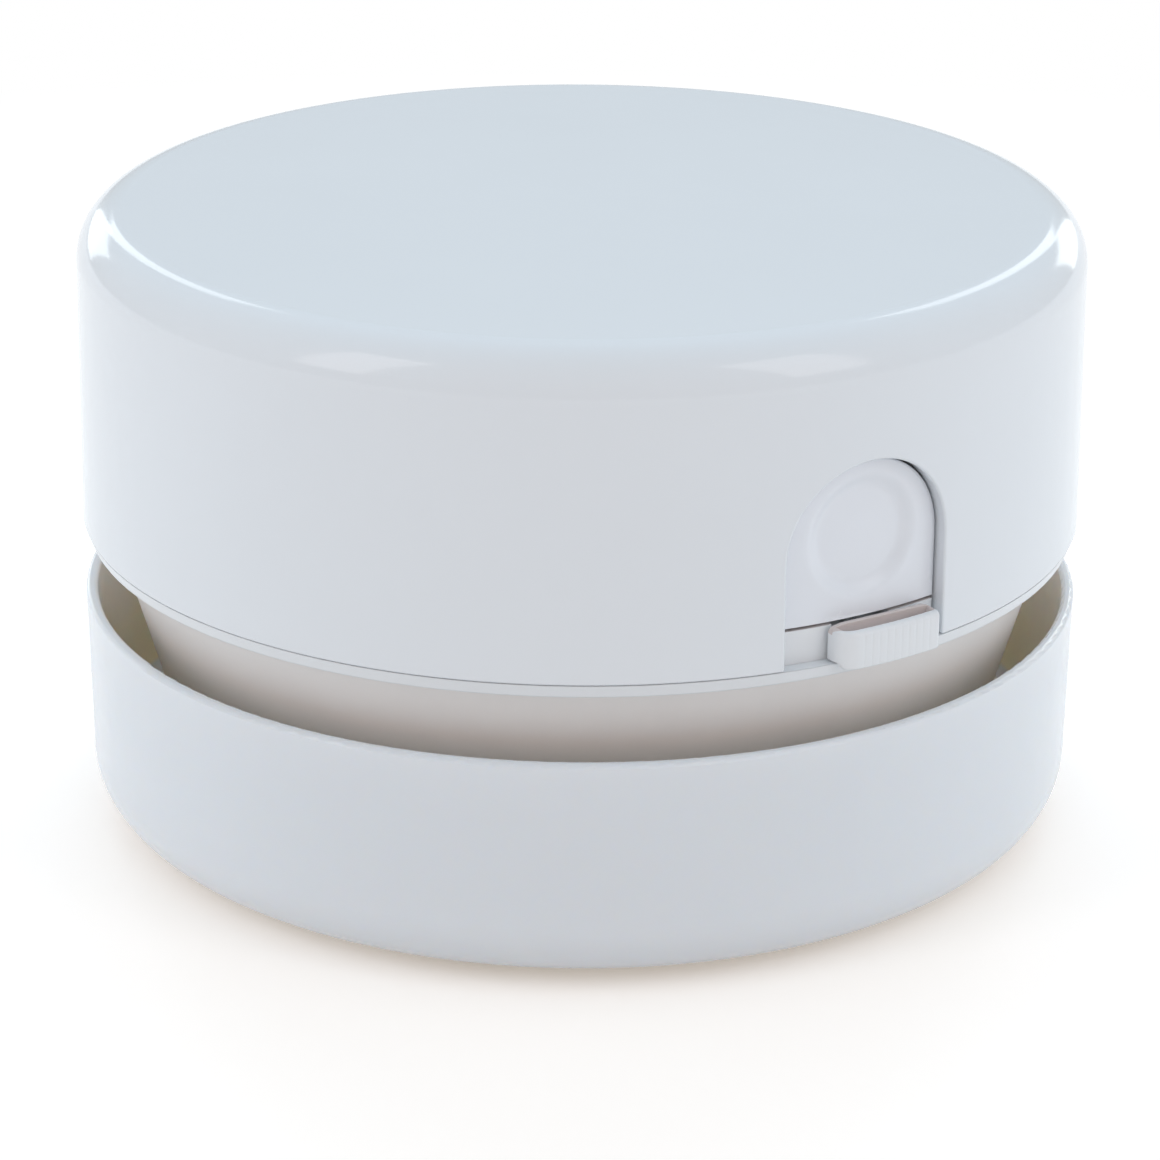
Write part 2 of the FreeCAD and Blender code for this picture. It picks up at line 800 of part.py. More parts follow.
def make_motor():
    """The motor's fixed pieces: can, end cap, magnets, front bush and terminals."""
    can = can_prism(0, motor_bottom_z, motor_cap_z)
    can = can.cut(can_prism(-motor_sheet, motor_bottom_z + motor_sheet, motor_cap_z + overrun))
    can = can.cut(rod(motor_bush_radius + press_gap, motor_bottom_z - overrun, motor_bottom_z + overrun))
    cap = can_prism(-snug_gap, motor_cap_z, motor_top_z)
    cap = cap.cut(rod(brush_pocket_radius, motor_cap_z - overrun, motor_cap_z + brush_pocket_depth))
    bore = motor_shaft_radius + motor_bore_gap
    cap = cap.cut(rod(bore, motor_cap_z - overrun, motor_cap_z + cap_bore_depth))
    bush_low_z = motor_bottom_z - motor_bush_proud
    bush = ring(bore, motor_bush_radius, bush_low_z, motor_bottom_z + motor_bush_inside)
    low_z = armature_low_z - magnet_overhang
    high_z = armature_high_z + magnet_overhang
    whole = ring(magnet_radius - magnet_thickness, magnet_radius, low_z, high_z)
    flat = motor_flat - motor_sheet - press_gap
    magnets = whole.common(box(-flat, flat, -magnet_radius, magnet_radius, low_z, high_z))
    terminals = []
    for side in (-1, 1):
        x0, x1 = sorted((side * (terminal_face - terminal_root), side * terminal_tip))
        y0 = side * terminal_offset - terminal_width / 2
        blade = box(x0, x1, y0, y0 + terminal_width, terminal_low_z, terminal_low_z + terminal_thickness)
        terminals.append(blade)
    tabs = Part.makeCompound(terminals)
    return can, cap.cut(tabs), magnets, bush, tabs


def make_motor_clamp():
    """The steel strap over the motor, with a foot each side."""
    under_z = motor_top_z + clamp_gap
    foot_top_z = deck_top_z + clamp_sheet
    half = clamp_width / 2
    wide = half + overrun
    strap = box(-half, half, -clamp_outer, clamp_outer, deck_top_z, under_z + clamp_sheet)
    strap = strap.cut(box(-wide, wide, -clamp_inner, clamp_inner, deck_top_z - overrun, under_z))
    for side in (-1, 1):
        foot = side_box(side, -half, half, clamp_inner, clamp_outer + clamp_foot, deck_top_z, foot_top_z)
        strap = strap.fuse(foot)
    for x, y in clamp_screw_places():
        strap = strap.cut(rod(screw_hole_radius, deck_top_z - overrun, foot_top_z + overrun, x, y))
    well = can_prism(seat_gap, deck_top_z - overrun, foot_top_z + overrun)
    return strap.cut(well).removeSplitter()


def make_rotor():
    """What turns with the fan: shaft, armature and commutator."""
    shaft_bore = motor_shaft_radius + press_gap
    shaft = rod(motor_shaft_radius, shaft_bottom_z, motor_cap_z + cap_bore_depth - snug_gap)
    armature = ring(shaft_bore, armature_radius, armature_low_z, armature_high_z)
    half = armature_slot / 2
    for i in range(armature_poles):
        slot = box(armature_web_radius, armature_radius + overrun, -half, half,
                   armature_low_z - overrun, armature_high_z + overrun)
        armature = armature.cut(round_the_axis(slot, i * FULL_TURN / armature_poles))
    low_z = armature_high_z + commutator_gap
    commutator = ring(shaft_bore, commutator_radius, low_z, low_z + commutator_height)
    return shaft, armature, commutator


def make_impeller():
    """A backplate with swept blades that reach down to the inlet plate."""
    wheel = rod(impeller_radius, disc_bottom_z, disc_top_z)
    wheel = wheel.fuse(rod(impeller_hub_radius, blade_bottom_z, disc_top_z))
    middle_radius = (blade_inner_radius + impeller_radius) / 2
    lead_angle = blade_sweep_angle * blade_lead_share
    for i in range(blade_count):
        angle = i * FULL_TURN / blade_count
        edges = []
        faces = []
        for shift in (-1, 1):
            inner = Vec(*on_circle(blade_inner_radius, angle), blade_bottom_z)
            middle = Vec(*on_circle(middle_radius, angle + lead_angle), blade_bottom_z)
            outer = Vec(*on_circle(impeller_radius - edge_round, angle + blade_sweep_angle), blade_bottom_z)
            across = outer.sub(inner).cross(UP).normalize().multiply(shift * blade_thickness / 2)
            faces.append([point.add(across) for point in (inner, middle, outer)])
        near, far = faces
        edges.append(Part.Arc(*near).toShape())
        edges.append(Part.LineSegment(near[2], far[2]).toShape())
        edges.append(Part.Arc(*far).toShape())
        edges.append(Part.LineSegment(far[0], near[0]).toShape())
        blade = Part.Face(Part.Wire(Part.__sortEdges__(edges)))
        wheel = wheel.fuse(blade.extrude(Vec(0, 0, disc_bottom_z - blade_bottom_z + impeller_disc / 2)))
    rim = rod(impeller_radius, blade_bottom_z, disc_top_z)
    wheel = wheel.common(rim)
    return wheel.cut(rod(motor_shaft_radius + press_gap, blade_bottom_z - overrun, disc_top_z + overrun))


def make_battery_tray():
    """Two open troughs for the cells, joined at their ends round the motor's bay."""
    tray = box(-tray_half_x, tray_half_x, -tray_half_y, tray_half_y, deck_top_z, tray_top_z)
    floor_z = deck_top_z + tray_floor
    pocket_half_x = cell_radius + cell_gap
    for side in (-1, 1):
        x = side * cell_x
        tray = tray.cut(box(x - pocket_half_x, x + pocket_half_x, -pocket_half_y, pocket_half_y,
                            floor_z, tray_top_z + overrun))
        window = pocket_half_x * tray_window_share
        tray = tray.cut(box(x - window, x + window, -pocket_half_y * tray_window_share,
                            pocket_half_y * tray_window_share, deck_top_z - overrun, floor_z + overrun))
    tray = tray.cut(box(-tray_bay_half, tray_bay_half, -tray_half_y - overrun, tray_half_y + overrun,
                        floor_z, tray_top_z + overrun))
    inner_end = tray_screw_offset - tray_tab_half
    tray = tray.cut(box(-tray_bay_half, tray_bay_half, -inner_end, inner_end,
                        deck_top_z - overrun, floor_z + overrun))
    for x, y in tray_screw_places():
        tray = tray.cut(rod(screw_hole_radius, deck_top_z - overrun, floor_z + overrun, x, y))
    return tray.removeSplitter()


def make_cell(side):
    """One AA cell; the two lie head to tail."""
    low_y = -cell_length / 2
    body = Part.makeCylinder(cell_radius, cell_length, Vec(0, low_y, 0), Vec(0, 1, 0))
    body = body.makeFillet(cell_rim_round, [e for e in body.Edges if len(e.Vertexes) == 1])
    nub = Part.makeCylinder(cell_nub_radius, cell_nub + cell_rim_round, Vec(0, -low_y - cell_rim_round, 0),
                            Vec(0, 1, 0))
    cell = body.fuse(nub)
    if side < 0:
        cell.rotate(ORIGIN, UP, HALF_TURN)
    cell.translate(Vec(side * cell_x, 0, cell_z))
    return cell.removeSplitter()


def make_contacts():
    """Sheet contacts at the cells' ends: a bridge at one end, two tabbed plates at the other, and springs."""
    low_z = deck_top_z + tray_floor
    high_z = tray_top_z - seat_gap
    near_y = pocket_half_y - contact_sheet
    half = cell_x + contact_half_width
    bridge = box(-half, half, near_y, pocket_half_y, low_z, high_z)
    bay = tray_bay_half + tray_wall + seat_gap
    bridge = bridge.cut(box(-bay, bay, near_y - overrun, pocket_half_y + overrun,
                            low_z - overrun, high_z + overrun))
    link_z = tray_top_z + snug_gap
    link_half = cell_x + contact_tab_half
    bridge = bridge.fuse(box(-link_half, link_half, near_y, pocket_half_y, link_z, link_z + contact_tab_rise))
    for side in (-1, 1):
        x = side * cell_x
        bridge = bridge.fuse(box(x - contact_tab_half, x + contact_tab_half, near_y, pocket_half_y,
                                 high_z - overrun, link_z + contact_tab_rise))
    plates = []
    for side in (-1, 1):
        x = side * cell_x
        plate = box(x - contact_half_width, x + contact_half_width, -pocket_half_y, -near_y, low_z, high_z)
        tab = box(x - contact_tab_half, x + contact_tab_half, -pocket_half_y, -near_y,
                  high_z - overrun, tray_top_z + contact_tab_rise)
        plates.append(plate.fuse(tab).removeSplitter())
    springs = []
    for side in (-1, 1):
        length = near_y - cell_length / 2 - 2 * spring_seat
        start_y = -side * (cell_length / 2 + spring_seat)
        along = Vec(0, -side, 0)
        start = Vec(side * cell_x, start_y, cell_z)
        spring = Part.makeCone(spring_inner_radius, spring_outer_radius, length, start, along)
        springs.append(spring)
    return bridge.removeSplitter(), Part.makeCompound(plates), Part.makeCompound(springs)


def make_top_cover():
    """The glossy round cover with its rounded top edge, arched opening and seating ribs."""
    top_radius = cover_radius - cover_draft
    cover = revolved([
        (0, cover_top_z, 0),
        (top_radius, cover_top_z, cover_round),
        (cover_radius, cover_bottom_z, 0),
        (cover_radius - cover_wall, cover_bottom_z, 0),
        (top_radius - cover_wall, roof_z, cover_round - cover_wall),
        (0, roof_z, 0),
    ])
    rib_bottom_z = deck_top_z + ring_height + seat_gap
    rib_top_z = roof_z - cover_round + cover_wall - cover_rib_headroom
    outer = top_radius - cover_wall / 2
    inner = top_radius - cover_wall - cover_rib_depth
    half = cover_rib_width / 2
    for angle in cover_rib_angles:
        rib = box(inner, outer, -half, half, rib_bottom_z, rib_top_z)
        cover = cover.fuse(round_the_axis(rib, angle))
    inside = cover_radius - cover_wall - overrun
    opening = arch_prism(opening_half_width, cover_bottom_z - overrun, arch_top_z,
                         inside - overrun, cover_radius + overrun)
    return cover.cut(opening).removeSplitter()


def make_push_key():
    """The arched key: a curved face with a finger dimple, on a flange behind the cover's wall."""
    face = arch_prism(key_half_width, key_bottom_z, arch_top_z - key_gap, key_front_x, cover_radius)
    face = face.common(rod(key_radius, key_bottom_z, arch_top_z))
    flange = arch_prism(flange_half_width, key_bottom_z, arch_top_z - key_gap + key_flange_edge,
                        key_back_x, key_front_x)
    floor_x = key_radius - dimple_depth
    dish = Part.Wire([
        Part.LineSegment(Vec(floor_x, 0, 0), Vec(floor_x, dimple_flat_radius, 0)).toShape(),
        Part.LineSegment(Vec(floor_x, dimple_flat_radius, 0), Vec(key_radius, dimple_radius, 0)).toShape(),
        Part.LineSegment(Vec(key_radius, dimple_radius, 0), Vec(cover_radius, dimple_radius, 0)).toShape(),
        Part.LineSegment(Vec(cover_radius, dimple_radius, 0), Vec(cover_radius, 0, 0)).toShape(),
        Part.LineSegment(Vec(cover_radius, 0, 0), Vec(floor_x, 0, 0)).toShape(),
    ])
    dish = Part.Face(dish).revolve(ORIGIN, OUT, FULL_TURN)
    dish.translate(Vec(0, 0, dimple_z))
    return face.fuse(flange).cut(dish).removeSplitter()


def make_tact_plunger():
    """The small switch's plunger, which travels with the key."""
    return pin(tact_plunger_radius, tact_front_x - plunger_inside, key_back_x, 0, dimple_z)


def make_power_knob():
    """The slide knob: a ribbed cap with a pocket, a neck, a socket and a shutter behind the sill."""
    cap = box(key_radius + seat_gap, knob_front_radius, -knob_left, knob_right,
              knob_bottom_z - knob_overhang - knob_gap, knob_top_z)
    cap = cap.cut(box(key_radius, cover_radius + snug_gap, -knob_left - overrun, knob_right + overrun,
                      knob_bottom_z - overrun, knob_bottom_z))
    cap = cap.common(rod(knob_front_radius, knob_bottom_z - overrun, knob_top_z))
    cap = cap.makeFillet(knob_corner, front_corner(cap, -1))
    cap = cap.makeFillet(knob_right_corner, front_corner(cap, 1))
    for i in range(knob_rib_count):
        y = knob_middle + (i - (knob_rib_count - 1) / 2) * knob_rib_pitch
        groove = box(knob_front_radius - knob_rib_depth, knob_front_radius + overrun,
                     -knob_rib_width / 2, knob_rib_width / 2, knob_bottom_z - overrun, knob_top_z + overrun)
        cap = cap.cut(round_the_axis(groove, math.degrees(math.asin(y / knob_front_radius))))
    pocket_bottom_z = knob_top_z - knob_pocket_depth
    pocket = box(key_radius + seat_gap + knob_back_wall, knob_front_radius, knob_pocket_left - knob_left,
                 knob_right - knob_pocket_right, pocket_bottom_z, knob_top_z + overrun)
    cap = cap.cut(pocket.common(rod(knob_front_radius - knob_rim, pocket_bottom_z, knob_top_z + overrun)))
    socket_x = sill_bore - seat_gap - knob_socket_length
    neck = box(sill_bore - seat_gap - edge_round, key_radius + seat_gap + knob_back_wall / 2,
               knob_middle - knob_neck_half, knob_middle + knob_neck_half,
               neck_bottom_z, knob_top_z - knob_neck_drop)
    shutter_x = sill_bore - seat_gap - shutter_back
    shutter = box(shutter_x - shutter_thickness, shutter_x,
                  knob_middle - knob_neck_half - knob_travel - seat_gap, knob_middle + shutter_reach,
                  neck_bottom_z, knob_top_z)
    socket = box(socket_x, sill_bore - seat_gap,
                 knob_middle - knob_socket_half, knob_middle + knob_socket_half,
                 neck_bottom_z, knob_top_z)
    knob = cap.fuse([neck, socket, shutter])
    return knob.cut(lever_box(press_gap)).removeSplitter()


def front_corner(cap, side):
    """The knob's upright front edge on one side of the middle plane; side is 1 or -1."""
    found = []
    for edge in cap.Edges:
        place = edge.CenterOfMass
        upright = abs(edge.tangentAt(edge.FirstParameter).z) > upright_share
        if upright and place.y * side > 0 and math.hypot(place.x, place.y) > knob_front_radius - edge_round:
            found.append(edge)
    return found


def lever_box(grow):
    """The slide switch's lever, grown all round."""
    half = lever_half + grow
    tip_x = sill_bore - seat_gap - edge_round
    return box(switch_front_x - lever_root, tip_x + grow, knob_middle - half, knob_middle + half,
               lever_z - lever_height / 2 - grow, lever_z + lever_height / 2 + grow)


def make_slide_switch():
    """The slide switch's sheet frame on the board, open in front for its lever."""
    half = switch_length / 2
    frame = box(board_front_x, switch_front_x, switch_middle - half, switch_middle + half,
                board_bottom_z, switch_top_z)
    inside = half - switch_sheet
    frame = frame.cut(box(board_front_x + switch_sheet, switch_front_x - switch_sheet,
                          switch_middle - inside, switch_middle + inside,
                          board_bottom_z + switch_sheet, switch_top_z - switch_sheet))
    window = knob_travel / 2 + lever_half + seat_gap
    frame = frame.cut(box(switch_front_x - switch_sheet - overrun / 2, switch_front_x + overrun,
                          switch_middle - window, switch_middle + window,
                          lever_z - lever_height / 2 - snug_gap, lever_z + lever_height / 2 + snug_gap))
    return frame


def make_tact_switch():
    """The small push switch behind the key."""
    half = tact_side / 2
    body = box(board_front_x, tact_front_x, -half, half, dimple_z - half, dimple_z + half)
    bore_x = tact_front_x - tact_bore_depth
    return body.cut(pin(tact_plunger_radius + snug_gap, bore_x, tact_front_x + overrun, 0, dimple_z))


def make_switch_bezel():
    """The sill behind the knob, and the rails that guide the key and hold the board."""
    sill = ring(sill_bore, key_radius, lip_top_z, sill_top_z)
    sill = sill.common(box(0, cover_radius, -key_half_width, key_half_width, lip_top_z, sill_top_z))
    sill = sill.cut(rod(deck_radius, lip_top_z - overrun, deck_top_z))
    notch_right = knob_middle + knob_neck_half + seat_gap
    notch_left = knob_middle - knob_travel - knob_neck_half - seat_gap
    sill = sill.cut(box(0, cover_radius, notch_left, notch_right, deck_top_z, sill_top_z + overrun))
    cheek_x = key_front_x - rail_thickness
    cheek_y = key_half_width - rail_thickness
    bezel = sill
    for side in (-1, 1):
        rail = side_box(side, board_back_x, key_front_x, rail_inner, rail_outer, deck_top_z, rail_top_z)
        cheek = side_box(side, cheek_x, key_front_x, cheek_y, rail_outer, deck_top_z, sill_top_z)
        tie = side_box(side, cheek_x, key_radius, cheek_y, key_half_width, deck_top_z, sill_top_z)
        tie = tie.common(rod(key_radius, deck_top_z, sill_top_z))
        foot = side_box(side, bezel_foot_x, bezel_foot_x + bezel_foot_length, rail_inner,
                        rail_outer + bezel_foot_width, deck_top_z, deck_top_z + bezel_foot_thickness)
        bezel = bezel.fuse([rail, cheek, tie, foot])
    for x, y in bezel_screw_places():
        bezel = bezel.cut(rod(screw_hole_radius, deck_top_z - overrun,
                              deck_top_z + bezel_foot_thickness + overrun, x, y))
    return bezel.removeSplitter()


def make_switch_board():
    """The upright circuit board that carries both switches."""
    return box(board_back_x, board_front_x, -board_half_width, board_half_width, board_bottom_z, board_top_z)


# Places that the leads go by: contact tabs, board pads, the tops of the cells and the motor's terminals
front_tab = (cell_x, -tab_y, tab_top_z)
rear_tab = (-cell_x, -tab_y, tab_top_z)
left_pad = (board_back_x, -board_pad_offset, board_pad_z)
right_pad = (board_back_x, board_pad_offset, board_pad_z)
front_cell_top = (cell_x, 0, cell_z + cell_radius)
rear_cell_top = (-cell_x, 0, cell_z + cell_radius)
front_terminal = (terminal_tip, terminal_offset, terminal_z)
rear_terminal = (-terminal_tip, -terminal_offset, terminal_z)

# Routes of the three leads, from one soldered end to the other
lead_in_route = (
    measured_from(front_tab, [(0, 0, 0), (0, 0, 1.95), (2.85, 0.6, 3.95), (8.85, 5.2, 3.35)])
    + measured_from(front_tab, [(11.85, 12.8, 1.15)])
    + measured_from(left_pad, [(-4.0, -3.4, 1.0), (-2.4, 0, 0), (0, 0, 0)])
)
lead_motor_route = (
    measured_from(right_pad, [(0, 0, 0), (-2.2, 0, 0), (-4.8, 0.6, 2.7)])
    + measured_from(front_cell_top, [(8.65, 5.0, 1.1), (3.05, 4.6, 3.4)])
    + measured_from(front_terminal, [(2.2, 0, 0), (0, 0, 0)])
)
lead_return_route = (
    measured_from(rear_tab, [(0, 0, 0), (0, 0, 2.15), (-0.35, 1.6, 4.95)])
    + measured_from(rear_cell_top, [(0.15, -21.4, 3.3), (1.15, -13.8, 3.7)])
    + measured_from(rear_terminal, [(-2.2, 0, 0), (0, 0, 0)])
)

os.makedirs("parts", exist_ok=True)

save("dust_cup", make_dust_cup())
save("dust_tray", make_dust_tray())
save("rubber_feet", make_rubber_feet())
save("intake_nozzle", make_intake_nozzle())
save("base_plate", make_base_plate())
save("base_screws", make_base_screws())
brush_carrier, brush_tufts = make_brush()
save("brush_ring", brush_carrier)
save("brush_tufts", brush_tufts)

save("fan_cone", make_fan_cone())
save("seal_ring", make_seal_ring())
save("inlet_plate", make_inlet_plate())
filter_frame, filter_cloth = make_filter()
save("filter_frame", filter_frame)
save("filter_cloth", filter_cloth)
save("chassis_deck", make_chassis_deck())
save("cone_screws", make_cone_screws())

motor_can, motor_end_cap, motor_magnets, motor_bush, motor_terminals = make_motor()
save("motor_can", motor_can)
save("motor_end_cap", motor_end_cap)
save("motor_magnets", motor_magnets)
save("motor_bush", motor_bush)
save("motor_terminals", motor_terminals)
save("motor_clamp", make_motor_clamp())
save("clamp_screws", screws_at(clamp_screw_places(), deck_top_z + clamp_sheet,
                               deck_screw_reach + clamp_sheet))
motor_shaft, armature, commutator = make_rotor()
save("motor_shaft", motor_shaft)
save("armature", armature)
save("commutator", commutator)
save("impeller", make_impeller())

save("battery_tray", make_battery_tray())
save("tray_screws", screws_at(tray_screw_places(), deck_top_z + tray_floor, deck_screw_reach + tray_floor))
save("battery_cell_front", make_cell(1))
save("battery_cell_rear", make_cell(-1))
contact_bridge, contact_plates, contact_springs = make_contacts()
save("contact_bridge", contact_bridge)
save("contact_plates", contact_plates)
save("contact_springs", contact_springs)

save("switch_board", make_switch_board())
save("slide_switch", make_slide_switch())
save("switch_lever", lever_box(0))
save("tact_switch", make_tact_switch())
save("tact_plunger", make_tact_plunger())
save("switch_bezel", make_switch_bezel())
save("bezel_screws", screws_at(bezel_screw_places(), deck_top_z + bezel_foot_thickness,
                               deck_screw_reach + bezel_foot_thickness))
save("power_knob", make_power_knob())
save("push_key", make_push_key())
save("top_cover", make_top_cover())

save("lead_in", tube_along(lead_in_route, lead_radius, "lead_in"))
save("lead_motor", tube_along(lead_motor_route, lead_radius, "lead_motor"))
save("lead_return", tube_along(lead_return_route, lead_radius, "lead_return"))
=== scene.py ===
import math
import random

import bmesh
import bpy
from mathutils import Matrix, Vector


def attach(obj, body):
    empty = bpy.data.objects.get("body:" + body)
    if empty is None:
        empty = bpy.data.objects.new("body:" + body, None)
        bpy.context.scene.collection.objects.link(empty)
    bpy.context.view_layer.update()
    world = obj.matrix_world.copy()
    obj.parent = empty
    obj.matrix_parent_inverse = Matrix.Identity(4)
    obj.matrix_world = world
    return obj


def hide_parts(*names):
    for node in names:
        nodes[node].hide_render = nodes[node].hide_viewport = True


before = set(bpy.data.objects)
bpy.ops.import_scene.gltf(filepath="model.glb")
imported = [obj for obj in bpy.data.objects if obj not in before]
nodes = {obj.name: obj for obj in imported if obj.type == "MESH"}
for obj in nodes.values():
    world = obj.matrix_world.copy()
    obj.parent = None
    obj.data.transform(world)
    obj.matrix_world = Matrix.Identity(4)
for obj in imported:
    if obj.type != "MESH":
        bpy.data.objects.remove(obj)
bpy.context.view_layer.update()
dice = random.Random(7)

# Pieces are drawn in millimetres in the controls' frame of the CAD source: +X out through the arched
# opening, +Y to the right of it, +Z up. TO_ROW turns and scales them to where the CAD nodes are.
MM = 0.001
CONTROL_AZIMUTH = 31.9
TO_ROW = Matrix.Rotation(math.radians(CONTROL_AZIMUTH - 90), 4, "Z") @ Matrix.Scale(MM, 4)

COVER_LOW_Z = 27.375
COVER_TOP_Z = 54.2
COVER_LOW_RADIUS = 43.3
COVER_TOP_RADIUS = 43.0
COVER_WALL = 1.8
COVER_ROOF = 2.0
COVER_ROUND = 4.2
ARCH_HALF = 7.6
ARCH_TOP_Z = 43.7
KEY_HALF = 7.4
KEY_TOP_Z = 43.5
KEY_LOW_Z = 30.45
KEY_FACE_RADIUS = 42.0
KEY_FLANGE_X = 39.9
KEY_BACK_X = 38.9
KEY_FLANGE_EDGE = 0.65
DIMPLE_Z = 37.2
CELL_X = 16.55
CELL_Z = 36.4
BOARD_X = 33.0
SWITCH_LOW_Z = 28.3
TERMINAL_Y = 4.6
TERMINAL_Z = 37.9
TUFTS = 36
BRISTLES_PER_TUFT = 26
BRUSH_RADIUS = 24


# Materials


class Tree:
    """The nodes of a material or world. A value given as a socket is linked, any other is set."""

    def __init__(self, owner):
        owner.use_nodes = True
        self.nodes = owner.node_tree.nodes
        self.links = owner.node_tree.links
        self.nodes.clear()

    def add(self, kind, inputs=None, **settings):
        node = self.nodes.new(kind)
        for key, value in settings.items():
            setattr(node, key, value)
        for key, value in (inputs or {}).items():
            if isinstance(value, bpy.types.NodeSocket):
                self.links.new(value, node.inputs[key])
            else:
                node.inputs[key].default_value = value
        return node

    def math(self, operation, a, b=0.0, clamp=False):
        return self.add("ShaderNodeMath", {0: a, 1: b}, operation=operation, use_clamp=clamp).outputs[0]

    def spread(self, value, low, high, to_low=0.0, to_high=1.0):
        """Maps a value from one range to another, clamped."""
        node = self.add("ShaderNodeMapRange", {"Value": value, "From Min": low, "From Max": high,
                                               "To Min": to_low, "To Max": to_high})
        return node.outputs["Result"]

    def noise(self, where, size, detail=3.0, rough=0.55):
        """Noise whose features are about size millimetres across."""
        node = self.add("ShaderNodeTexNoise", {"Vector": where, "Scale": 1.0 / size, "Detail": detail,
                                               "Roughness": rough})
        return node.outputs["Fac"]

    def blend(self, fac, a, b):
        """Mixes two colours, which are inputs 6 and 7 of the node."""
        node = self.add("ShaderNodeMix", {"Factor": fac, 6: a, 7: b}, data_type="RGBA")
        return node.outputs[2]

    def places(self, stretch=(1, 1, 1)):
        """Object coordinates in millimetres in the controls' frame."""
        where = self.add("ShaderNodeTexCoord").outputs["Object"]
        turn = (0, 0, math.radians(90 - CONTROL_AZIMUTH))
        size = (1 / MM, 1 / MM, 1 / MM)
        where = self.add("ShaderNodeMapping", {"Vector": where, "Rotation": turn, "Scale": size}).outputs[0]
        return self.add("ShaderNodeMapping", {"Vector": where, "Scale": stretch}).outputs[0]


def tone(colour, factor):
    """A colour made lighter or darker."""
    return tuple(min(1.0, channel * factor) for channel in colour[:3]) + (1.0,)


def surface(name, colour, rough, metal=0.0, grain=(0.25, 0.004), mottle=(9.0, 0.03), smudge=0.05,
            rounding=0.0, coat=0.0, stretch=(1, 1, 1), specks=None, inside=None, painted_level_shade=None, sheen=0.0,
            wave=None, milky=0.0):
    """A finish with mottled colour, uneven roughness and a fine moulded or rolled grain.

    grain and mottle are (millimetres across, depth or amount). rounding softens hard CAD edges for the
    light. specks is (millimetres, colour, share). inside is (radius, colour, floor z, low z, high z) for
    painted shade within the radius and over the floor, fading from low to high. settled is the colour of
    painted shade on level faces. wave is (pitch, amount) of turned rings. milky is how far the plastic lets
    light in.
    """
    material = bpy.data.materials.new(name)
    tree = Tree(material)
    where = tree.places(stretch)
    cloud = tree.noise(where, mottle[0])
    base = tree.blend(cloud, tone(colour, 1 - mottle[1]), tone(colour, 1 + mottle[1]))
    if specks:
        size, speck_colour, share = specks
        spots = tree.spread(tree.noise(where, size, 2.0), 1 - share, 1.08 - share)
        base = tree.blend(spots, base, tone(speck_colour, 1.0))
    plain = tree.places()
    # Painted shade: inside the radius and above the floor the colour turns towards the given tint, more the
    # lower it is, broken up a little by noise.
    if inside:
        radius, shade_tint, floor_z, low_z, high_z = inside
        axes = tree.add("ShaderNodeSeparateXYZ", {0: plain}).outputs
        squares = [tree.math("MULTIPLY", axis, axis) for axis in (axes[0], axes[1])]
        reach = tree.math("SQRT", tree.math("ADD", *squares))
        within = tree.spread(reach, radius + 0.12, radius - 0.12)
        depth = tree.spread(axes[2], high_z, low_z)
        within = tree.math("MULTIPLY", within, depth)
        within = tree.math("MULTIPLY", within, tree.spread(axes[2], floor_z, floor_z + 0.5))
        within = tree.math("MULTIPLY", within, tree.spread(tree.noise(plain, 5.0), 0.2, 0.8, 0.8, 1.0))
        base = tree.blend(within, base, tone(shade_tint, 1.0))
    # Painted shade: faces that look upwards take the given darker colour.
    if painted_level_shade:
        facing = tree.add("ShaderNodeNewGeometry").outputs["Normal"]
        upward = tree.add("ShaderNodeSeparateXYZ", {0: facing}).outputs[2]
        base = tree.blend(tree.spread(upward, 0.7, 0.95), base, tone(painted_level_shade, 1.0))
    worn = tree.noise(plain, 6.0, 5.0, 0.65)
    gloss = tree.spread(worn, 0.35, 0.7, rough - smudge / 2, rough + smudge)
    height = tree.noise(where, grain[0], 2.0)
    if wave:
        pitch, amount = wave
        rings = tree.add("ShaderNodeTexWave", {"Vector": where, "Scale": 0.314 / pitch, "Distortion": 0.4},
                         wave_type="RINGS", rings_direction="Z").outputs["Fac"]
        height = tree.math("ADD", height, tree.math("MULTIPLY", rings, amount))
    normal = {"Height": height, "Distance": grain[1] * MM, "Strength": 1.0}
    if rounding:
        normal["Normal"] = tree.add("ShaderNodeBevel", {"Radius": rounding * MM}, samples=4).outputs[0]
    bump = tree.add("ShaderNodeBump", normal).outputs[0]
    shader = tree.add("ShaderNodeBsdfPrincipled", {"Base Color": base, "Roughness": gloss,
                                                   "Metallic": metal, "IOR": 1.5, "Normal": bump})
    if coat:
        shader.inputs["Coat Weight"].default_value = coat
        shader.inputs["Coat Roughness"].default_value = 0.08
    if sheen:
        shader.inputs["Sheen Weight"].default_value = sheen
        shader.inputs["Sheen Roughness"].default_value = 0.5
    if milky:
        shader.inputs["Subsurface Weight"].default_value = 0.5
        shader.inputs["Subsurface Radius"].default_value = (1.0, 0.78, 0.6)
        shader.inputs["Subsurface Scale"].default_value = milky * MM
    tree.add("ShaderNodeOutputMaterial", {"Surface": shader.outputs[0]})
    return material


WHITE = (0.79, 0.825, 0.862)
SATIN = (0.80, 0.825, 0.85)
# Painted shade colour, darker and warmer than the satin, for the knob's hollow and the sill's level faces
# under the key.
HOLLOW_SHADE = (0.66, 0.60, 0.59)
# Painted warm shade colour for the inside of the cup and the tray, standing in for warm light bounced about
# in there.
WARM_SHADE = (0.95, 0.85, 0.70)

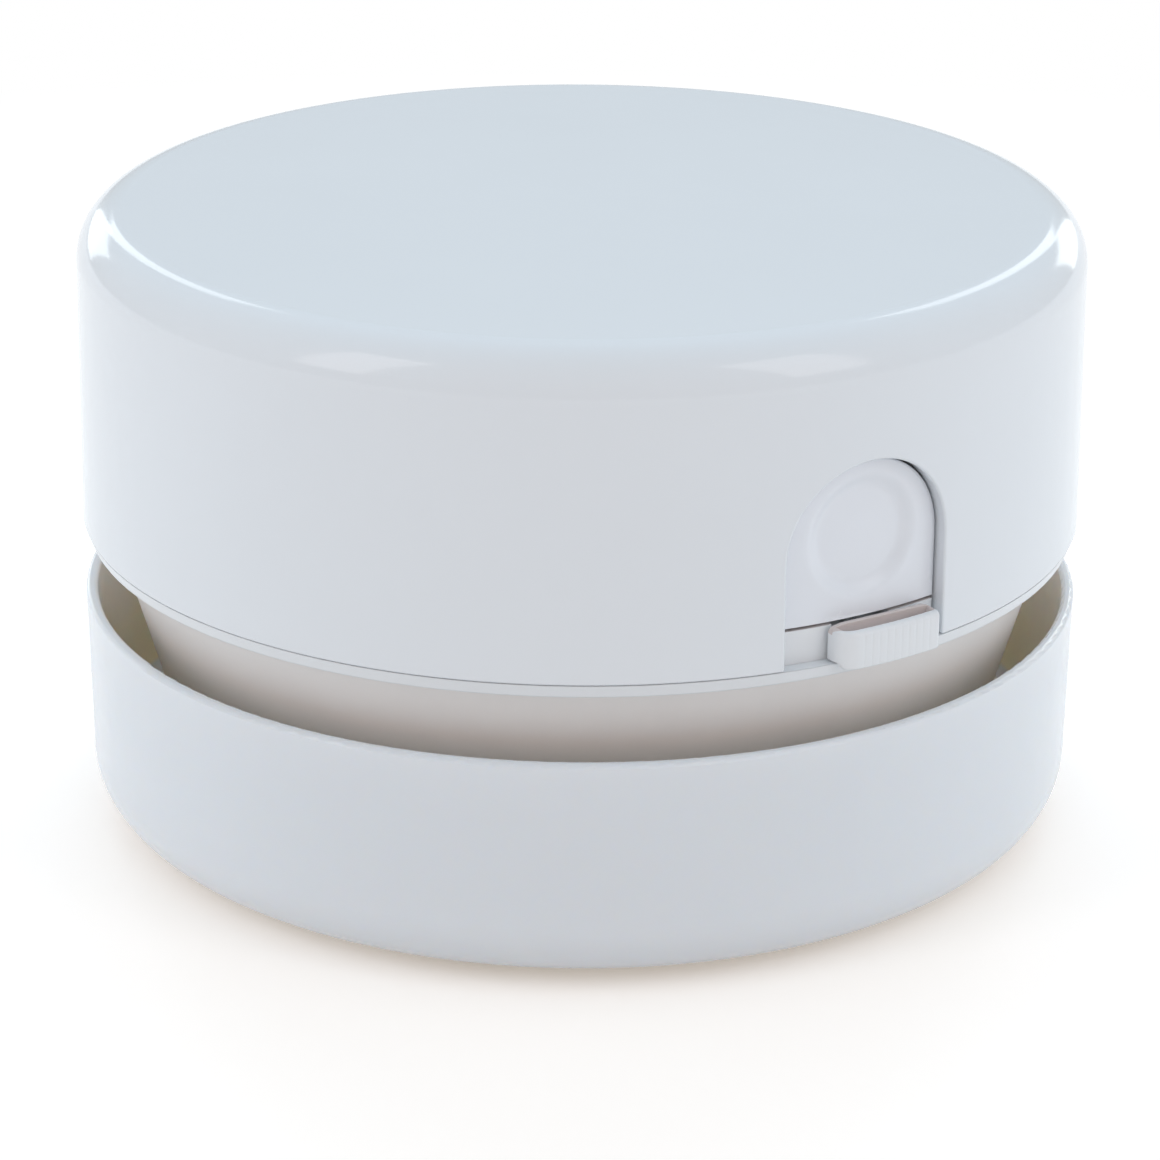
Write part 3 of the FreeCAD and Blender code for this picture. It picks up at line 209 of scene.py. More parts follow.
M = {
    "white_gloss": surface("white_gloss", WHITE, 0.1, grain=(2.6, 0.0012), mottle=(14.0, 0.012),
                           smudge=0.04),
    # Painted warm shade on the cup's inner wall, strongest below z 12 and gone by z 23.
    "cup_gloss": surface("cup_gloss", WHITE, 0.2, grain=(2.2, 0.0012), mottle=(14.0, 0.012), smudge=0.05,
                         inside=(42.5, WARM_SHADE, 5.6, 12.0, 23.0), milky=4.0),
    # Painted warm shade over the tray, strongest at its bottom and gone by z 30.
    "tray_gloss": surface("tray_gloss", WHITE, 0.28, grain=(0.5, 0.002), mottle=(9.0, 0.02), rounding=0.2,
                          inside=(50.0, WARM_SHADE, -1.0, 0.0, 30.0)),
    "key_gloss": surface("key_gloss", (0.82, 0.85, 0.90), 0.24, grain=(0.35, 0.0016), mottle=(6.0, 0.012)),
    "white_satin": surface("white_satin", SATIN, 0.3, grain=(0.22, 0.002), mottle=(7.0, 0.02),
                           rounding=0.18),
    "knob_satin": surface("knob_satin", SATIN, 0.3, grain=(0.3, 0.0015), mottle=(7.0, 0.015)),
    # Painted shade: a darker, warmer copy of the satin for the knob's hollow.
    "knob_hollow_shade": surface("knob_hollow_shade", HOLLOW_SHADE, 0.5, grain=(0.22, 0.002), mottle=(1.6, 0.08)),
    # Painted shade on the sill's level faces under the key.
    "bezel_satin": surface("bezel_satin", SATIN, 0.3, grain=(0.22, 0.002), mottle=(7.0, 0.02),
                           rounding=0.12, painted_level_shade=HOLLOW_SHADE),
    "white_matte": surface("white_matte", (0.78, 0.78, 0.76), 0.5, grain=(0.16, 0.004), mottle=(6.0, 0.03),
                           rounding=0.2),
    "plate_matte": surface("plate_matte", (0.76, 0.77, 0.77), 0.48, grain=(0.16, 0.005), mottle=(6.0, 0.03),
                           rounding=0.2, wave=(0.9, 0.15)),
    # Painted shade: the fan cone turns warmer and darker towards the bottom, below z 21.5.
    "grey_plastic": surface("grey_plastic", (0.87, 0.85, 0.835), 0.34, grain=(0.3, 0.002),
                            mottle=(8.0, 0.03), rounding=0.2,
                            inside=(60.0, (0.78, 0.70, 0.61), -1.0, 9.0, 21.5)),
    "dark_rubber": surface("dark_rubber", (0.045, 0.044, 0.043), 0.62, grain=(0.12, 0.006),
                           mottle=(1.6, 0.2), rounding=0.25, specks=(0.4, (0.22, 0.21, 0.19), 0.25)),
    "screw_steel": surface("screw_steel", (0.60, 0.60, 0.61), 0.28, metal=1.0, grain=(0.09, 0.003),
                           mottle=(0.7, 0.14), rounding=0.16, smudge=0.12),
    "zinc_steel": surface("zinc_steel", (0.62, 0.63, 0.64), 0.3, metal=1.0, grain=(0.1, 0.002),
                          mottle=(2.4, 0.16), rounding=0.3, smudge=0.14, stretch=(1, 1, 0.12)),
    "spring_steel": surface("spring_steel", (0.66, 0.66, 0.66), 0.22, metal=1.0, grain=(0.08, 0.001),
                            mottle=(1.2, 0.1), rounding=0.06, smudge=0.1),
    "bush_brass": surface("bush_brass", (0.78, 0.57, 0.27), 0.3, metal=1.0, grain=(0.08, 0.002),
                          mottle=(0.8, 0.12), rounding=0.1, smudge=0.12),
    "magnet": surface("magnet", (0.07, 0.07, 0.075), 0.5, metal=0.4, grain=(0.1, 0.005), mottle=(1.0, 0.2),
                      rounding=0.2),
    "copper_core": surface("copper_core", (0.72, 0.33, 0.16), 0.32, metal=1.0, grain=(0.2, 0.01),
                           mottle=(0.9, 0.2), rounding=0.2, stretch=(1, 1, 4)),
    "black_plastic": surface("black_plastic", (0.035, 0.035, 0.038), 0.42, grain=(0.13, 0.003),
                             mottle=(2.0, 0.15), rounding=0.2),
    "cell_jacket": surface("cell_jacket", (0.09, 0.29, 0.35), 0.22, grain=(0.6, 0.001), mottle=(5.0, 0.05),
                           coat=0.5),
    "cell_band": surface("cell_band", (0.70, 0.69, 0.66), 0.27, metal=0.85, grain=(0.5, 0.001),
                         mottle=(4.0, 0.05), coat=0.4),
    "cell_washer": surface("cell_washer", (0.82, 0.80, 0.74), 0.6, grain=(0.12, 0.003), mottle=(1.0, 0.05)),
    "board_green": surface("board_green", (0.055, 0.25, 0.13), 0.3, grain=(0.25, 0.002), mottle=(1.4, 0.12),
                           rounding=0.08, coat=0.3),
    "board_trace": surface("board_trace", (0.10, 0.36, 0.19), 0.3, grain=(0.25, 0.001), mottle=(1.4, 0.08)),
    "solder": surface("solder", (0.70, 0.70, 0.69), 0.25, metal=1.0, grain=(0.3, 0.006), mottle=(0.5, 0.1)),
    "red_lead": surface("red_lead", (0.55, 0.03, 0.025), 0.38, grain=(0.2, 0.001), mottle=(2.0, 0.08)),
    "black_lead": surface("black_lead", (0.03, 0.03, 0.032), 0.4, grain=(0.2, 0.001), mottle=(2.0, 0.12)),
    "brush_fibre": surface("brush_fibre", (0.055, 0.055, 0.06), 0.4, grain=(0.1, 0.001),
                           mottle=(0.5, 0.35)),
    "filter_felt": surface("filter_felt", (0.74, 0.72, 0.66), 0.95, grain=(0.22, 0.05), mottle=(1.6, 0.08),
                           specks=(0.7, (0.55, 0.50, 0.43), 0.36), sheen=0.4),
}

FINISH = {
    "dust_cup": "cup_gloss", "dust_tray": "tray_gloss", "intake_nozzle": "white_matte",
    "base_plate": "plate_matte", "filter_frame": "white_matte", "impeller": "white_matte",
    "battery_tray": "white_matte", "chassis_deck": "white_satin", "switch_bezel": "bezel_satin",
}
for name, node in nodes.items():
    for slot in node.material_slots:
        slot.material = M[FINISH.get(name, slot.material.name.split(".")[0])]


# Meshes


def piece(name, verts, faces, materials, body, slot, stands_for=(), bevel=0.0, steps=2, indices=None,
          sharp=38):
    """Makes a piece from millimetre points in the controls' frame and rides it on a body.

    Edges that turn by more than sharp degrees are rounded by up to bevel millimetres, or else stay hard.
    """
    mesh = bpy.data.meshes.new(name)
    mesh.from_pydata([TO_ROW @ Vector(v) for v in verts], [], faces)
    for key in materials if isinstance(materials, (list, tuple)) else [materials]:
        mesh.materials.append(M[key])
    if indices:
        mesh.polygons.foreach_set("material_index", indices)
    mesh.validate()
    shape = bmesh.new()
    shape.from_mesh(mesh)
    bmesh.ops.remove_doubles(shape, verts=shape.verts, dist=0.0008 * MM)
    bmesh.ops.recalc_face_normals(shape, faces=shape.faces)
    for face in shape.faces:
        face.smooth = True
    shape.to_mesh(mesh)
    shape.free()
    obj = bpy.data.objects.new(name, mesh)
    bpy.context.scene.collection.objects.link(obj)
    if bevel:
        edge = obj.modifiers.new("edges", "BEVEL")
        edge.width = bevel * MM
        edge.segments = steps
        edge.limit_method = "ANGLE"
        edge.angle_limit = math.radians(sharp)
        weighted = obj.modifiers.new("normals", "WEIGHTED_NORMAL")
        weighted.keep_sharp = False
    else:
        mesh.set_sharp_from_angle(angle=math.radians(sharp))
    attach(obj, body)
    if stands_for:
        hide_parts(*stands_for)
    return obj


def rounded(corners, steps=8):
    """Points of an outline of (a, b, radius), with each radius but 0 turned into an arc."""
    points = []
    for i, (a, b, radius) in enumerate(corners):
        if radius == 0:
            points.append((a, b))
            continue
        here = Vector((a, b))
        back = (Vector(corners[i - 1][:2]) - here).normalized()
        ahead = (Vector(corners[(i + 1) % len(corners)][:2]) - here).normalized()
        half = back.angle(ahead) / 2
        start = here + back * (radius / math.tan(half))
        centre = here + (back + ahead).normalized() * (radius / math.sin(half))
        sweep = math.pi - 2 * half
        sign = 1 if back.cross(ahead) < 0 else -1
        for step in range(steps + 1):
            turn = Matrix.Rotation(sign * sweep * step / steps, 2)
            points.append(tuple(centre + turn @ (start - centre)))
    return points


def revolve(profile, count, closed=True):
    """Turns a (radius, height) outline about the axis. Radii of zero become one point by merging."""
    verts, faces = [], []
    rows = len(profile)
    for column in range(count):
        angle = 2 * math.pi * column / count
        verts += [(r * math.cos(angle), r * math.sin(angle), z) for r, z in profile]
    for column in range(count):
        near, far = column * rows, (column + 1) % count * rows
        for row in range(rows if closed else rows - 1):
            after = (row + 1) % rows
            if profile[row][0] < 1e-6 and profile[after][0] < 1e-6:
                continue
            faces.append((near + row, far + row, far + after, near + after))
    return verts, faces


def join(*parts):
    """Several (verts, faces) as one."""
    verts, faces = [], []
    for more_verts, more_faces in parts:
        base = len(verts)
        verts += more_verts
        faces += [tuple(base + i for i in face) for face in more_faces]
    return verts, faces


def block(x0, x1, y0, y1, z0, z1):
    """A box between two corners."""
    verts = [(x, y, z) for x in (x0, x1) for y in (y0, y1) for z in (z0, z1)]
    faces = [(0, 1, 3, 2), (4, 6, 7, 5), (0, 4, 5, 1), (2, 3, 7, 6), (0, 2, 6, 4), (1, 5, 7, 3)]
    return verts, faces


def moved(part, matrix):
    """A part's points through a matrix."""
    return [tuple(matrix @ Vector(v)) for v in part[0]], part[1]


def tube(path, radius, sides=8, radii=None):
    """A round tube along points, with closed ends."""
    verts, faces = [], []
    points = [Vector(p) for p in path]
    across = None
    for i, point in enumerate(points):
        ahead = (points[min(i + 1, len(points) - 1)] - points[max(i - 1, 0)]).normalized()
        across = across or ahead.orthogonal()
        across = (across - ahead * across.dot(ahead)).normalized()
        up = ahead.cross(across)
        size = radii[i] if radii else radius
        for side in range(sides):
            angle = 2 * math.pi * side / sides
            verts.append(tuple(point + (across * math.cos(angle) + up * math.sin(angle)) * size))
    for i in range(len(points) - 1):
        near, far = i * sides, (i + 1) * sides
        for side in range(sides):
            after = (side + 1) % sides
            faces.append((near + side, near + after, far + after, far + side))
    faces.append(tuple(range(sides)))
    faces.append(tuple(len(verts) - sides + side for side in range(sides)))
    return verts, faces


def blob(x, y, z, radius, height, facing, sides=16, rings=5):
    """A drop of solder or a rounded boss on a surface; facing is the way it bulges."""
    profile = [(radius, 0.0)]
    for step in range(1, rings + 1):
        angle = math.pi / 2 * step / rings
        profile.append((radius * math.cos(angle) ** 0.8 if step < rings else 0.0, height * math.sin(angle)))
    verts, faces = revolve([(0.0, -0.05), (radius, -0.05)] + profile, sides, closed=False)
    turn = Vector((0, 0, 1)).rotation_difference(Vector(facing)).to_matrix().to_4x4()
    return moved((verts, faces), Matrix.Translation((x, y, z)) @ turn)


# The cover, with its arched opening


def cover_part():
    """The cover's wall and roof. A patch of quads runs from a rectangle on the wall to the arch."""
    columns, reach, rows, patch_top = 360, 17, 22, 48.4
    zs = [COVER_LOW_Z + (patch_top - COVER_LOW_Z) * k / rows for k in range(rows + 1)]
    draft = (COVER_LOW_RADIUS - COVER_TOP_RADIUS) / (COVER_TOP_Z - COVER_LOW_Z)
    roof_z = COVER_TOP_Z - COVER_ROOF
    inner_top = COVER_TOP_RADIUS - COVER_WALL

    def outer(z):
        return COVER_LOW_RADIUS - draft * (z - COVER_LOW_Z)

    def inner(z):
        return outer(z) - COVER_WALL

    round_out = rounded([(outer(patch_top), patch_top, 0), (COVER_TOP_RADIUS, COVER_TOP_Z, COVER_ROUND),
                         (0, COVER_TOP_Z, 0)], 20)
    round_in = rounded([(inner(patch_top), patch_top, 0), (inner_top, roof_z, COVER_ROUND - COVER_WALL),
                        (0, roof_z, 0)], 8)
    walls = {}
    for key, radius, ending in (("out", outer, round_out), ("in", inner, round_in)):
        line = [(radius(z), z) for z in zs] + ending[1:-1]
        last = line[-1]
        walls[key] = line + [(last[0] * share, last[1]) for share in (0.8, 0.55, 0.3, 0.1, 0.0)]
    verts, faces = [], []
    start = {}
    for key, line in walls.items():
        start[key] = len(verts)
        for column in range(columns):
            angle = 2 * math.pi * column / columns
            verts += [(r * math.cos(angle), r * math.sin(angle), z) for r, z in line]
    in_patch = {c % columns for c in range(-reach, reach)}
    for column in range(columns):
        after = (column + 1) % columns
        for key, line in walls.items():
            near = start[key] + column * len(line)
            far = start[key] + after * len(line)
            for row in range(rows if column in in_patch else 0, len(line) - 1):
                faces.append((near + row, far + row, far + row + 1, near + row + 1))
        if column not in in_patch:
            out_rows, in_rows = len(walls["out"]), len(walls["in"])
            faces.append((start["out"] + column * out_rows, start["out"] + after * out_rows,
                          start["in"] + after * in_rows, start["in"] + column * in_rows))
    spring_z = ARCH_TOP_Z - ARCH_HALF
    side = math.radians(reach)
    border = [(-side, z) for z in zs]
    border += [(math.radians(c), patch_top) for c in range(1 - reach, reach)]
    border += [(side, z) for z in reversed(zs)]
    shares = (0.0, 0.2, 0.4, 0.58, 0.74, 0.87, 0.95, 1.0)
    sheets = {}
    for key, radius in (("out", outer), ("in", inner)):
        sheets[key] = len(verts)
        for angle, z in border:
            y = radius(z) * math.sin(angle)
            outside_y = outer(z) * math.sin(angle)
            if z <= spring_z:
                arch_y, arch_z = math.copysign(ARCH_HALF, angle), z
            else:
                away = Vector((outside_y, z - spring_z)).normalized() * ARCH_HALF
                arch_y, arch_z = away.x, spring_z + away.y
            for share in shares:
                a, b = y + (arch_y - y) * share, z + (arch_z - z) * share
                verts.append((math.sqrt(radius(b) ** 2 - a ** 2), a, b))
    wide = len(shares)
    for i in range(len(border) - 1):
        for key in sheets:
            for j in range(wide - 1):
                a = sheets[key] + i * wide + j
                faces.append((a, a + wide, a + wide + 1, a + 1))
        a, b = sheets["out"] + i * wide + wide - 1, sheets["in"] + i * wide + wide - 1
        faces.append((a, a + wide, b + wide, b))
    for i in (0, len(border) - 1):
        for j in range(wide - 1):
            a, b = sheets["out"] + i * wide + j, sheets["in"] + i * wide + j
            faces.append((a, a + 1, b + 1, b))
    return verts, faces


def cover_ribs():
    """The four ribs inside that stop the cover on the deck's ring."""
    ribs = []
    for angle in (60, 120, 240, 300):
        rib = block(39.6, 42.0, -0.8, 0.8, 31.25, 48.25)
        ribs.append(moved(rib, Matrix.Rotation(math.radians(angle), 4, "Z")))
    return ribs


piece("cover_shell", *join(cover_part(), *cover_ribs()), "white_gloss", "top_cover", "white_gloss",
      ["top_cover"], bevel=0.8, steps=6)


# The arched key with its finger dimple


def arch_outline(half, low_z, top_z, side_steps=8, arc_steps=32):
    """Points round a doorway shape as (y, z), from the middle of its foot towards +Y."""
    spring_z = top_z - half
    points = [(half * k / 4, low_z) for k in range(4)]
    points += [(half, low_z + (spring_z - low_z) * k / side_steps) for k in range(side_steps)]
    for step in range(arc_steps + 1):
        angle = math.pi * step / arc_steps
        points.append((half * math.cos(angle), spring_z + half * math.sin(angle)))
    points += [(-half, spring_z - (spring_z - low_z) * k / side_steps) for k in range(1, side_steps + 1)]
    points += [(-half * k / 4, low_z) for k in (3, 2, 1)]
    return points


def key_part():
    """The key: a dished curved face, its sides and the flange behind the cover's wall."""
    rim = arch_outline(KEY_HALF, KEY_LOW_Z, KEY_TOP_Z)
    flange = arch_outline(KEY_HALF + KEY_FLANGE_EDGE, KEY_LOW_Z, KEY_TOP_Z + KEY_FLANGE_EDGE)
    depth, flat, brim = 0.66, 3.7, 5.4
    count = len(rim)
    rings = [0.35, 1.2, 2.2, 2.9, 3.4, 3.75, 3.95, 4.15, 4.35, 4.55, 4.75, 4.95, 5.15, 5.35, 5.6]

    def face_x(y, z):
        away = math.hypot(y, z - DIMPLE_Z)
        share = min(1.0, max(0.0, (away - flat) / (brim - flat)))
        ease = share * share * (3 - 2 * share)
        return math.sqrt(KEY_FACE_RADIUS ** 2 - y ** 2) - depth * (1 - ease)

    verts, faces = [], []
    for radius in rings:
        for y, z in rim:
            away = Vector((y, z - DIMPLE_Z)).normalized() * radius
            verts.append((face_x(away.x, DIMPLE_Z + away.y), away.x, DIMPLE_Z + away.y))
    for share in (0.4, 0.75, 1.0):
        for y, z in rim:
            away = Vector((y, z - DIMPLE_Z)).normalized() * rings[-1]
            a, b = away.x + (y - away.x) * share, DIMPLE_Z + away.y + (z - DIMPLE_Z - away.y) * share
            verts.append((face_x(a, b), a, b))
    verts += [(KEY_FLANGE_X, y, z) for y, z in rim]
    verts += [(KEY_FLANGE_X, y, z) for y, z in flange]
    verts += [(KEY_BACK_X, y, z) for y, z in flange]
    loops = len(verts) // count
    for loop in range(loops - 1):
        for i in range(count):
            after = (i + 1) % count
            faces.append((loop * count + i, loop * count + after,
                          (loop + 1) * count + after, (loop + 1) * count + i))
    faces.append(tuple(range(count)))
    faces.append(tuple((loops - 1) * count + i for i in range(count)))
    return verts, faces


piece("key_cap", *key_part(), "key_gloss", "push_key", "white_gloss", ["push_key"], bevel=0.18, steps=4,
      sharp=50)


# The ribbed slide knob


def knob_part():
    """The knob: a hollow cap with faint ribs and soft edges, its neck, socket and shutter behind the sill.

    The cap is lofted through sections across it, from its left end to its right end. Returns the faces'
    materials too: 1 is the hollow behind the cap's front, painted darker as shade.
    """
    front, left, right, left_round, right_round = 44.6, -3.35, 6.3, 1.6, 0.5
    low, step_z, top, back, step_x, hollow_z = 27.05, 27.55, 30.2, 42.25, 43.42, 28.95
    middle, pitch, groove, wall = 1.475, 0.72, 0.03, 0.62

    def front_x(y):
        if y < left + left_round:
            reach = left_round - (y - left)
            side = math.sqrt(front ** 2 - (left + left_round) ** 2)
            return side - left_round + math.sqrt(left_round ** 2 - reach ** 2)
        if y > right - right_round:
            reach = right_round - (right - y)
            side = math.sqrt(front ** 2 - (right - right_round) ** 2)
            return side - right_round + math.sqrt(right_round ** 2 - reach ** 2)
        cut = 0.0
        if abs(y - middle) < 5.5 * pitch and y > left + left_round:
            cut = groove * max(0.0, math.cos(2 * math.pi * (y - middle) / pitch)) ** 2
        return math.sqrt(front ** 2 - y ** 2) - cut

    def ease(value, start, end):
        share = min(1.0, max(0.0, (value - start) / (end - start)))
        return share * share * (3 - 2 * share)

    def fall(distance, radius):
        reach = max(0.0, radius - distance)
        return radius - math.sqrt(max(0.0, radius ** 2 - reach ** 2))

    stations = [left + left_round * (1 - math.cos(math.pi / 2 * k / 20)) for k in range(20)]
    span = right - right_round - left - left_round
    stations += [left + left_round + span * k / 110 for k in range(110)]
    stations += [right - right_round * (1 - math.sin(math.pi / 2 * k / 10)) for k in range(11)]
    verts, faces, indices = [], [], []
    for y in stations:
        x = front_x(y)
        crown = top - max(fall(y - left, 0.5), fall(right - y, 0.25))
        foot_x = min(step_x, x - 0.06)
        foot_z = step_z + (low - step_z) * ease(x, step_x + 0.1, step_x + 0.75)
        hollow = crown - (crown - hollow_z) * ease(y - left, 0.45, 1.3) * ease(right - y, 0.2, 0.7)
        turn = min(0.22, x - foot_x)
        rim = max(back + 0.55, x - wall)
        soft = min(0.42, x - rim)
        line = [(back, step_z), (foot_x, step_z), (foot_x, foot_z)]
        line += [(x - turn + turn * math.sin(a), foot_z + turn - turn * math.cos(a))
                 for a in [math.pi / 2 * k / 5 for k in range(6)]]
        line += [(x, crown - soft - (crown - soft - foot_z - turn) * share)
                 for share in (0.8, 0.6, 0.4, 0.2)]
        line += [(x - soft + soft * math.cos(a), crown - soft + soft * math.sin(a))
                 for a in [math.pi / 2 * k / 7 for k in range(8)]]
        drop = crown - hollow
        behind = back + 0.35
        rise = ease(y - left, 0.3, 1.3) * ease(right - y, 0.2, 0.7)
        ridge = crown + 0.02 + 0.12 * rise
        lip = 0.01 + 0.07 * rise
        deep = behind + (rim - behind) * 0.25
        slope = rim - deep
        line += [(rim, crown), (rim - slope * 0.1, crown - drop * 0.15),
                 (rim - slope * 0.3, crown - drop * 0.6), (rim - slope * 0.6, crown - drop * 0.93),
                 (deep, hollow), (behind, hollow + 0.1 * drop / 1.25), (behind, ridge - lip),
                 (behind - lip, ridge), (back, ridge)]
        verts += [(px, y, pz) for px, pz in line]
    rows = len(line)
    for i in range(len(stations) - 1):
        for j in range(rows):
            after = (j + 1) % rows
            faces.append((i * rows + j, i * rows + after, (i + 1) * rows + after, (i + 1) * rows + j))
            # The hollow's faces take material 1, painted shade.
            indices.append(1 if rows - 9 <= j < rows - 1 else 0)
    faces += [tuple(range(rows)), tuple(len(verts) - rows + j for j in range(rows))]
    indices += [0, 0]
    lever_y, lever_z, lever_h, tip, root = 0.77, 29.25, 0.47, 40.15, 37.55
    floor, socket_top, shutter_top = SWITCH_LOW_Z, 30.1, 30.15
    blocks = [
        block(40.0, 42.4, middle - 1.0, middle + 1.0, floor, 29.6),
        block(root, tip, middle - 1.8, middle - lever_y, floor, socket_top),
        block(root, tip, middle + lever_y, middle + 1.8, floor, socket_top),
        block(root, tip, middle - lever_y - 0.2, middle + lever_y + 0.2, floor, lever_z - lever_h),
        block(root, tip, middle - lever_y - 0.2, middle + lever_y + 0.2, lever_z + lever_h, socket_top),
        block(39.3, 39.7, middle - 4.25, middle - 1.7, floor, shutter_top),
        block(39.3, 39.7, middle + 1.7, middle + 2.9, floor, shutter_top),
    ]
    rest = join(*blocks)
    base = len(verts)
    verts += rest[0]
    faces += [tuple(base + i for i in face) for face in rest[1]]
    indices += [0] * len(rest[1])
    return verts, faces, indices


verts, faces, indices = knob_part()
piece("knob_cap", verts, faces, ["knob_satin", "knob_hollow_shade"], "power_knob", "white_satin", ["power_knob"],
      indices=indices, sharp=42)


# Brush bristles, springs, cells, board, filter and leads


def bristles():
    """Tapered bristles in tufts round the mouth, each leaning a little its own way."""
    tufts = []
    for i in range(TUFTS):
        angle = 2 * math.pi * i / TUFTS
        centre = Vector((BRUSH_RADIUS * math.cos(angle), BRUSH_RADIUS * math.sin(angle), 0))
        for _ in range(BRISTLES_PER_TUFT):
            away = 0.62 * math.sqrt(dice.random())
            turn = 2 * math.pi * dice.random()
            root = Vector((math.cos(turn), math.sin(turn), 0)) * away
            lean = root * dice.uniform(0.15, 0.7)
            lean += Vector((dice.uniform(-0.15, 0.15), dice.uniform(-0.15, 0.15), 0))
            foot = centre + root + Vector((0, 0, 1.9))
            tip = centre + root + lean + Vector((0, 0, dice.uniform(0.25, 0.42)))
            middle = foot.lerp(tip, 0.55) - lean * 0.12
            tufts.append(tube([foot, middle, tip], 0, 5, [0.09, 0.085, 0.045]))
    return join(*tufts)


piece("brush_bristles", *bristles(), "brush_fibre", "dust_base", "brush_fibre", ["brush_tufts"])


def spring(side):
    """A conical wire spring from a cell's flat end to its contact."""
    turns, wire, steps = 3.6, 0.28, 96
    path = []
    for k in range(steps + 1):
        share = k / steps
        angle = 2 * math.pi * turns * share
        radius = 2.0 - wire + 1.6 * share
        along = 24.7 + wire + (2.8 - 2 * wire) * share
        path.append((side * CELL_X + radius * math.cos(angle), -side * along,
                     CELL_Z + radius * math.sin(angle)))
    return tube(path, wire, 8)


piece("contact_coils", *join(spring(1), spring(-1)), "spring_steel", "upper_unit", "spring_steel",
      ["contact_springs"])


def cell(side):
    """One AA cell along Y: jacket with rolled edges, a band, a washer and a steel button."""
    sections = [
        ("spring_steel", [(0.0, 0.35), (4.9, 0.35), (5.2, 0.12), (6.2, 0.12)]),
        ("cell_jacket", rounded([(6.2, 0.12, 0), (6.3, 0.0, 0), (7.1, 0.0, 0.55), (7.1, 6.0, 0)], 6)),
        ("cell_jacket", [(7.1, 6.0), (7.1, 34.0)]),
        ("cell_band", [(7.1, 34.0), (7.1, 44.6)]),
        ("cell_jacket", [(7.1, 44.6), (7.1, 46.0)]),
        ("cell_jacket", rounded([(7.1, 46.0, 0), (7.1, 49.2, 0.7), (6.1, 49.2, 0), (6.0, 49.0, 0)], 6)),
        ("cell_washer", [(6.0, 49.0), (3.3, 49.0)]),
        ("spring_steel", rounded([(3.3, 49.0, 0), (3.1, 49.25, 0), (2.7, 49.3, 0), (2.7, 50.2, 0.35),
                                  (0.9, 50.2, 0), (0.8, 50.05, 0), (0.0, 50.05, 0)], 4)),
    ]
    keys = ["cell_jacket", "cell_band", "cell_washer", "spring_steel"]
    verts, faces, indices = [], [], []
    for key, profile in sections:
        part = revolve(profile, 96, closed=False)
        base = len(verts)
        verts += part[0]
        faces += [tuple(base + i for i in face) for face in part[1]]
        indices += [keys.index(key)] * len(part[1])
    lay = Matrix.Rotation(math.radians(-90 * side), 4, "X")
    low = Matrix.Translation((0, 0, -24.6))
    place = Matrix.Translation((side * CELL_X, 0, CELL_Z))
    verts = [tuple(place @ lay @ low @ Vector(v)) for v in verts]
    return verts, faces, keys, indices


for side, word in ((1, "front"), (-1, "rear")):
    verts, faces, keys, indices = cell(side)
    piece("cell_" + word, verts, faces, keys, "upper_unit", "cell_jacket", ["battery_cell_" + word],
          indices=indices)


def board_part():
    """The switch board, the traces on its back and the drops of solder there."""
    board = block(BOARD_X, BOARD_X + 1.2, -8.0, 8.0, SWITCH_LOW_Z, 42.5)
    traces = []
    for y0, y1, z0, z1 in ((-5.0, -4.2, 30.0, 37.9), (-5.0, -2.2, 29.7, 30.4), (4.2, 5.0, 34.9, 37.9),
                           (0.0, 5.0, 34.6, 35.2), (1.8, 2.4, 29.9, 35.0), (-7.2, -6.6, 29.2, 41.6),
                           (-7.2, 7.2, 41.2, 41.8), (6.6, 7.2, 30.4, 41.6)):
        traces.append(block(BOARD_X - 0.035, BOARD_X + 0.1, y0, y1, z0, z1))
    drops = []
    for y in (-TERMINAL_Y, TERMINAL_Y):
        drops.append(blob(BOARD_X, y, TERMINAL_Z, 1.0, 0.75, (-1, 0, 0)))
    for y, z in ((-3.2, 34.95), (3.2, 34.95), (-3.2, 39.45), (3.2, 39.45),
                 (-2.02, 29.9), (-0.02, 29.9), (1.98, 29.9)):
        drops.append(blob(BOARD_X, y, z, 0.55, 0.4, (-1, 0, 0)))
    return board, join(*traces), join(*drops)


board, traces, drops = board_part()
piece("board_blank", *board, "board_green", "upper_unit", "board_green", ["switch_board"], bevel=0.12)
piece("board_traces", *traces, "board_trace", "upper_unit", "board_green")
piece("board_solder", *drops, "solder", "upper_unit", "screw_steel")


def felt_part():
    """A needled felt disc with a soft edge and slightly uneven faces."""
    radius, low, high, rings, count = 31.6, 11.8, 13.3, 40, 144
    profile = rounded([(0, low, 0), (radius, low, 0.5), (radius, high, 0.7), (0, high, 0)], 5)
    bottom = [(radius * k / rings, low) for k in range(rings)]
    top = [(radius * k / rings, high) for k in reversed(range(rings))]
    line = bottom + profile[1:-1] + top
    verts, faces = revolve(line, count, closed=False)
    soft = []
    for x, y, z in verts:
        dent = 0.05 * math.sin(x * 1.7 + y * 0.6) * math.sin(y * 1.3 - x * 0.5)
        dent += 0.04 * math.sin(x * 4.1 + 1.3) * math.sin(y * 3.7)
        if z < (low + high) / 2:
            soft.append((x, y, z + 0.03 + abs(dent) * 0.6))
        else:
            soft.append((x, y, z - 0.12 + dent))
    return soft, faces


felt = piece("filter_pad", *felt_part(), "filter_felt", "upper_unit", "filter_felt", ["filter_cloth"])


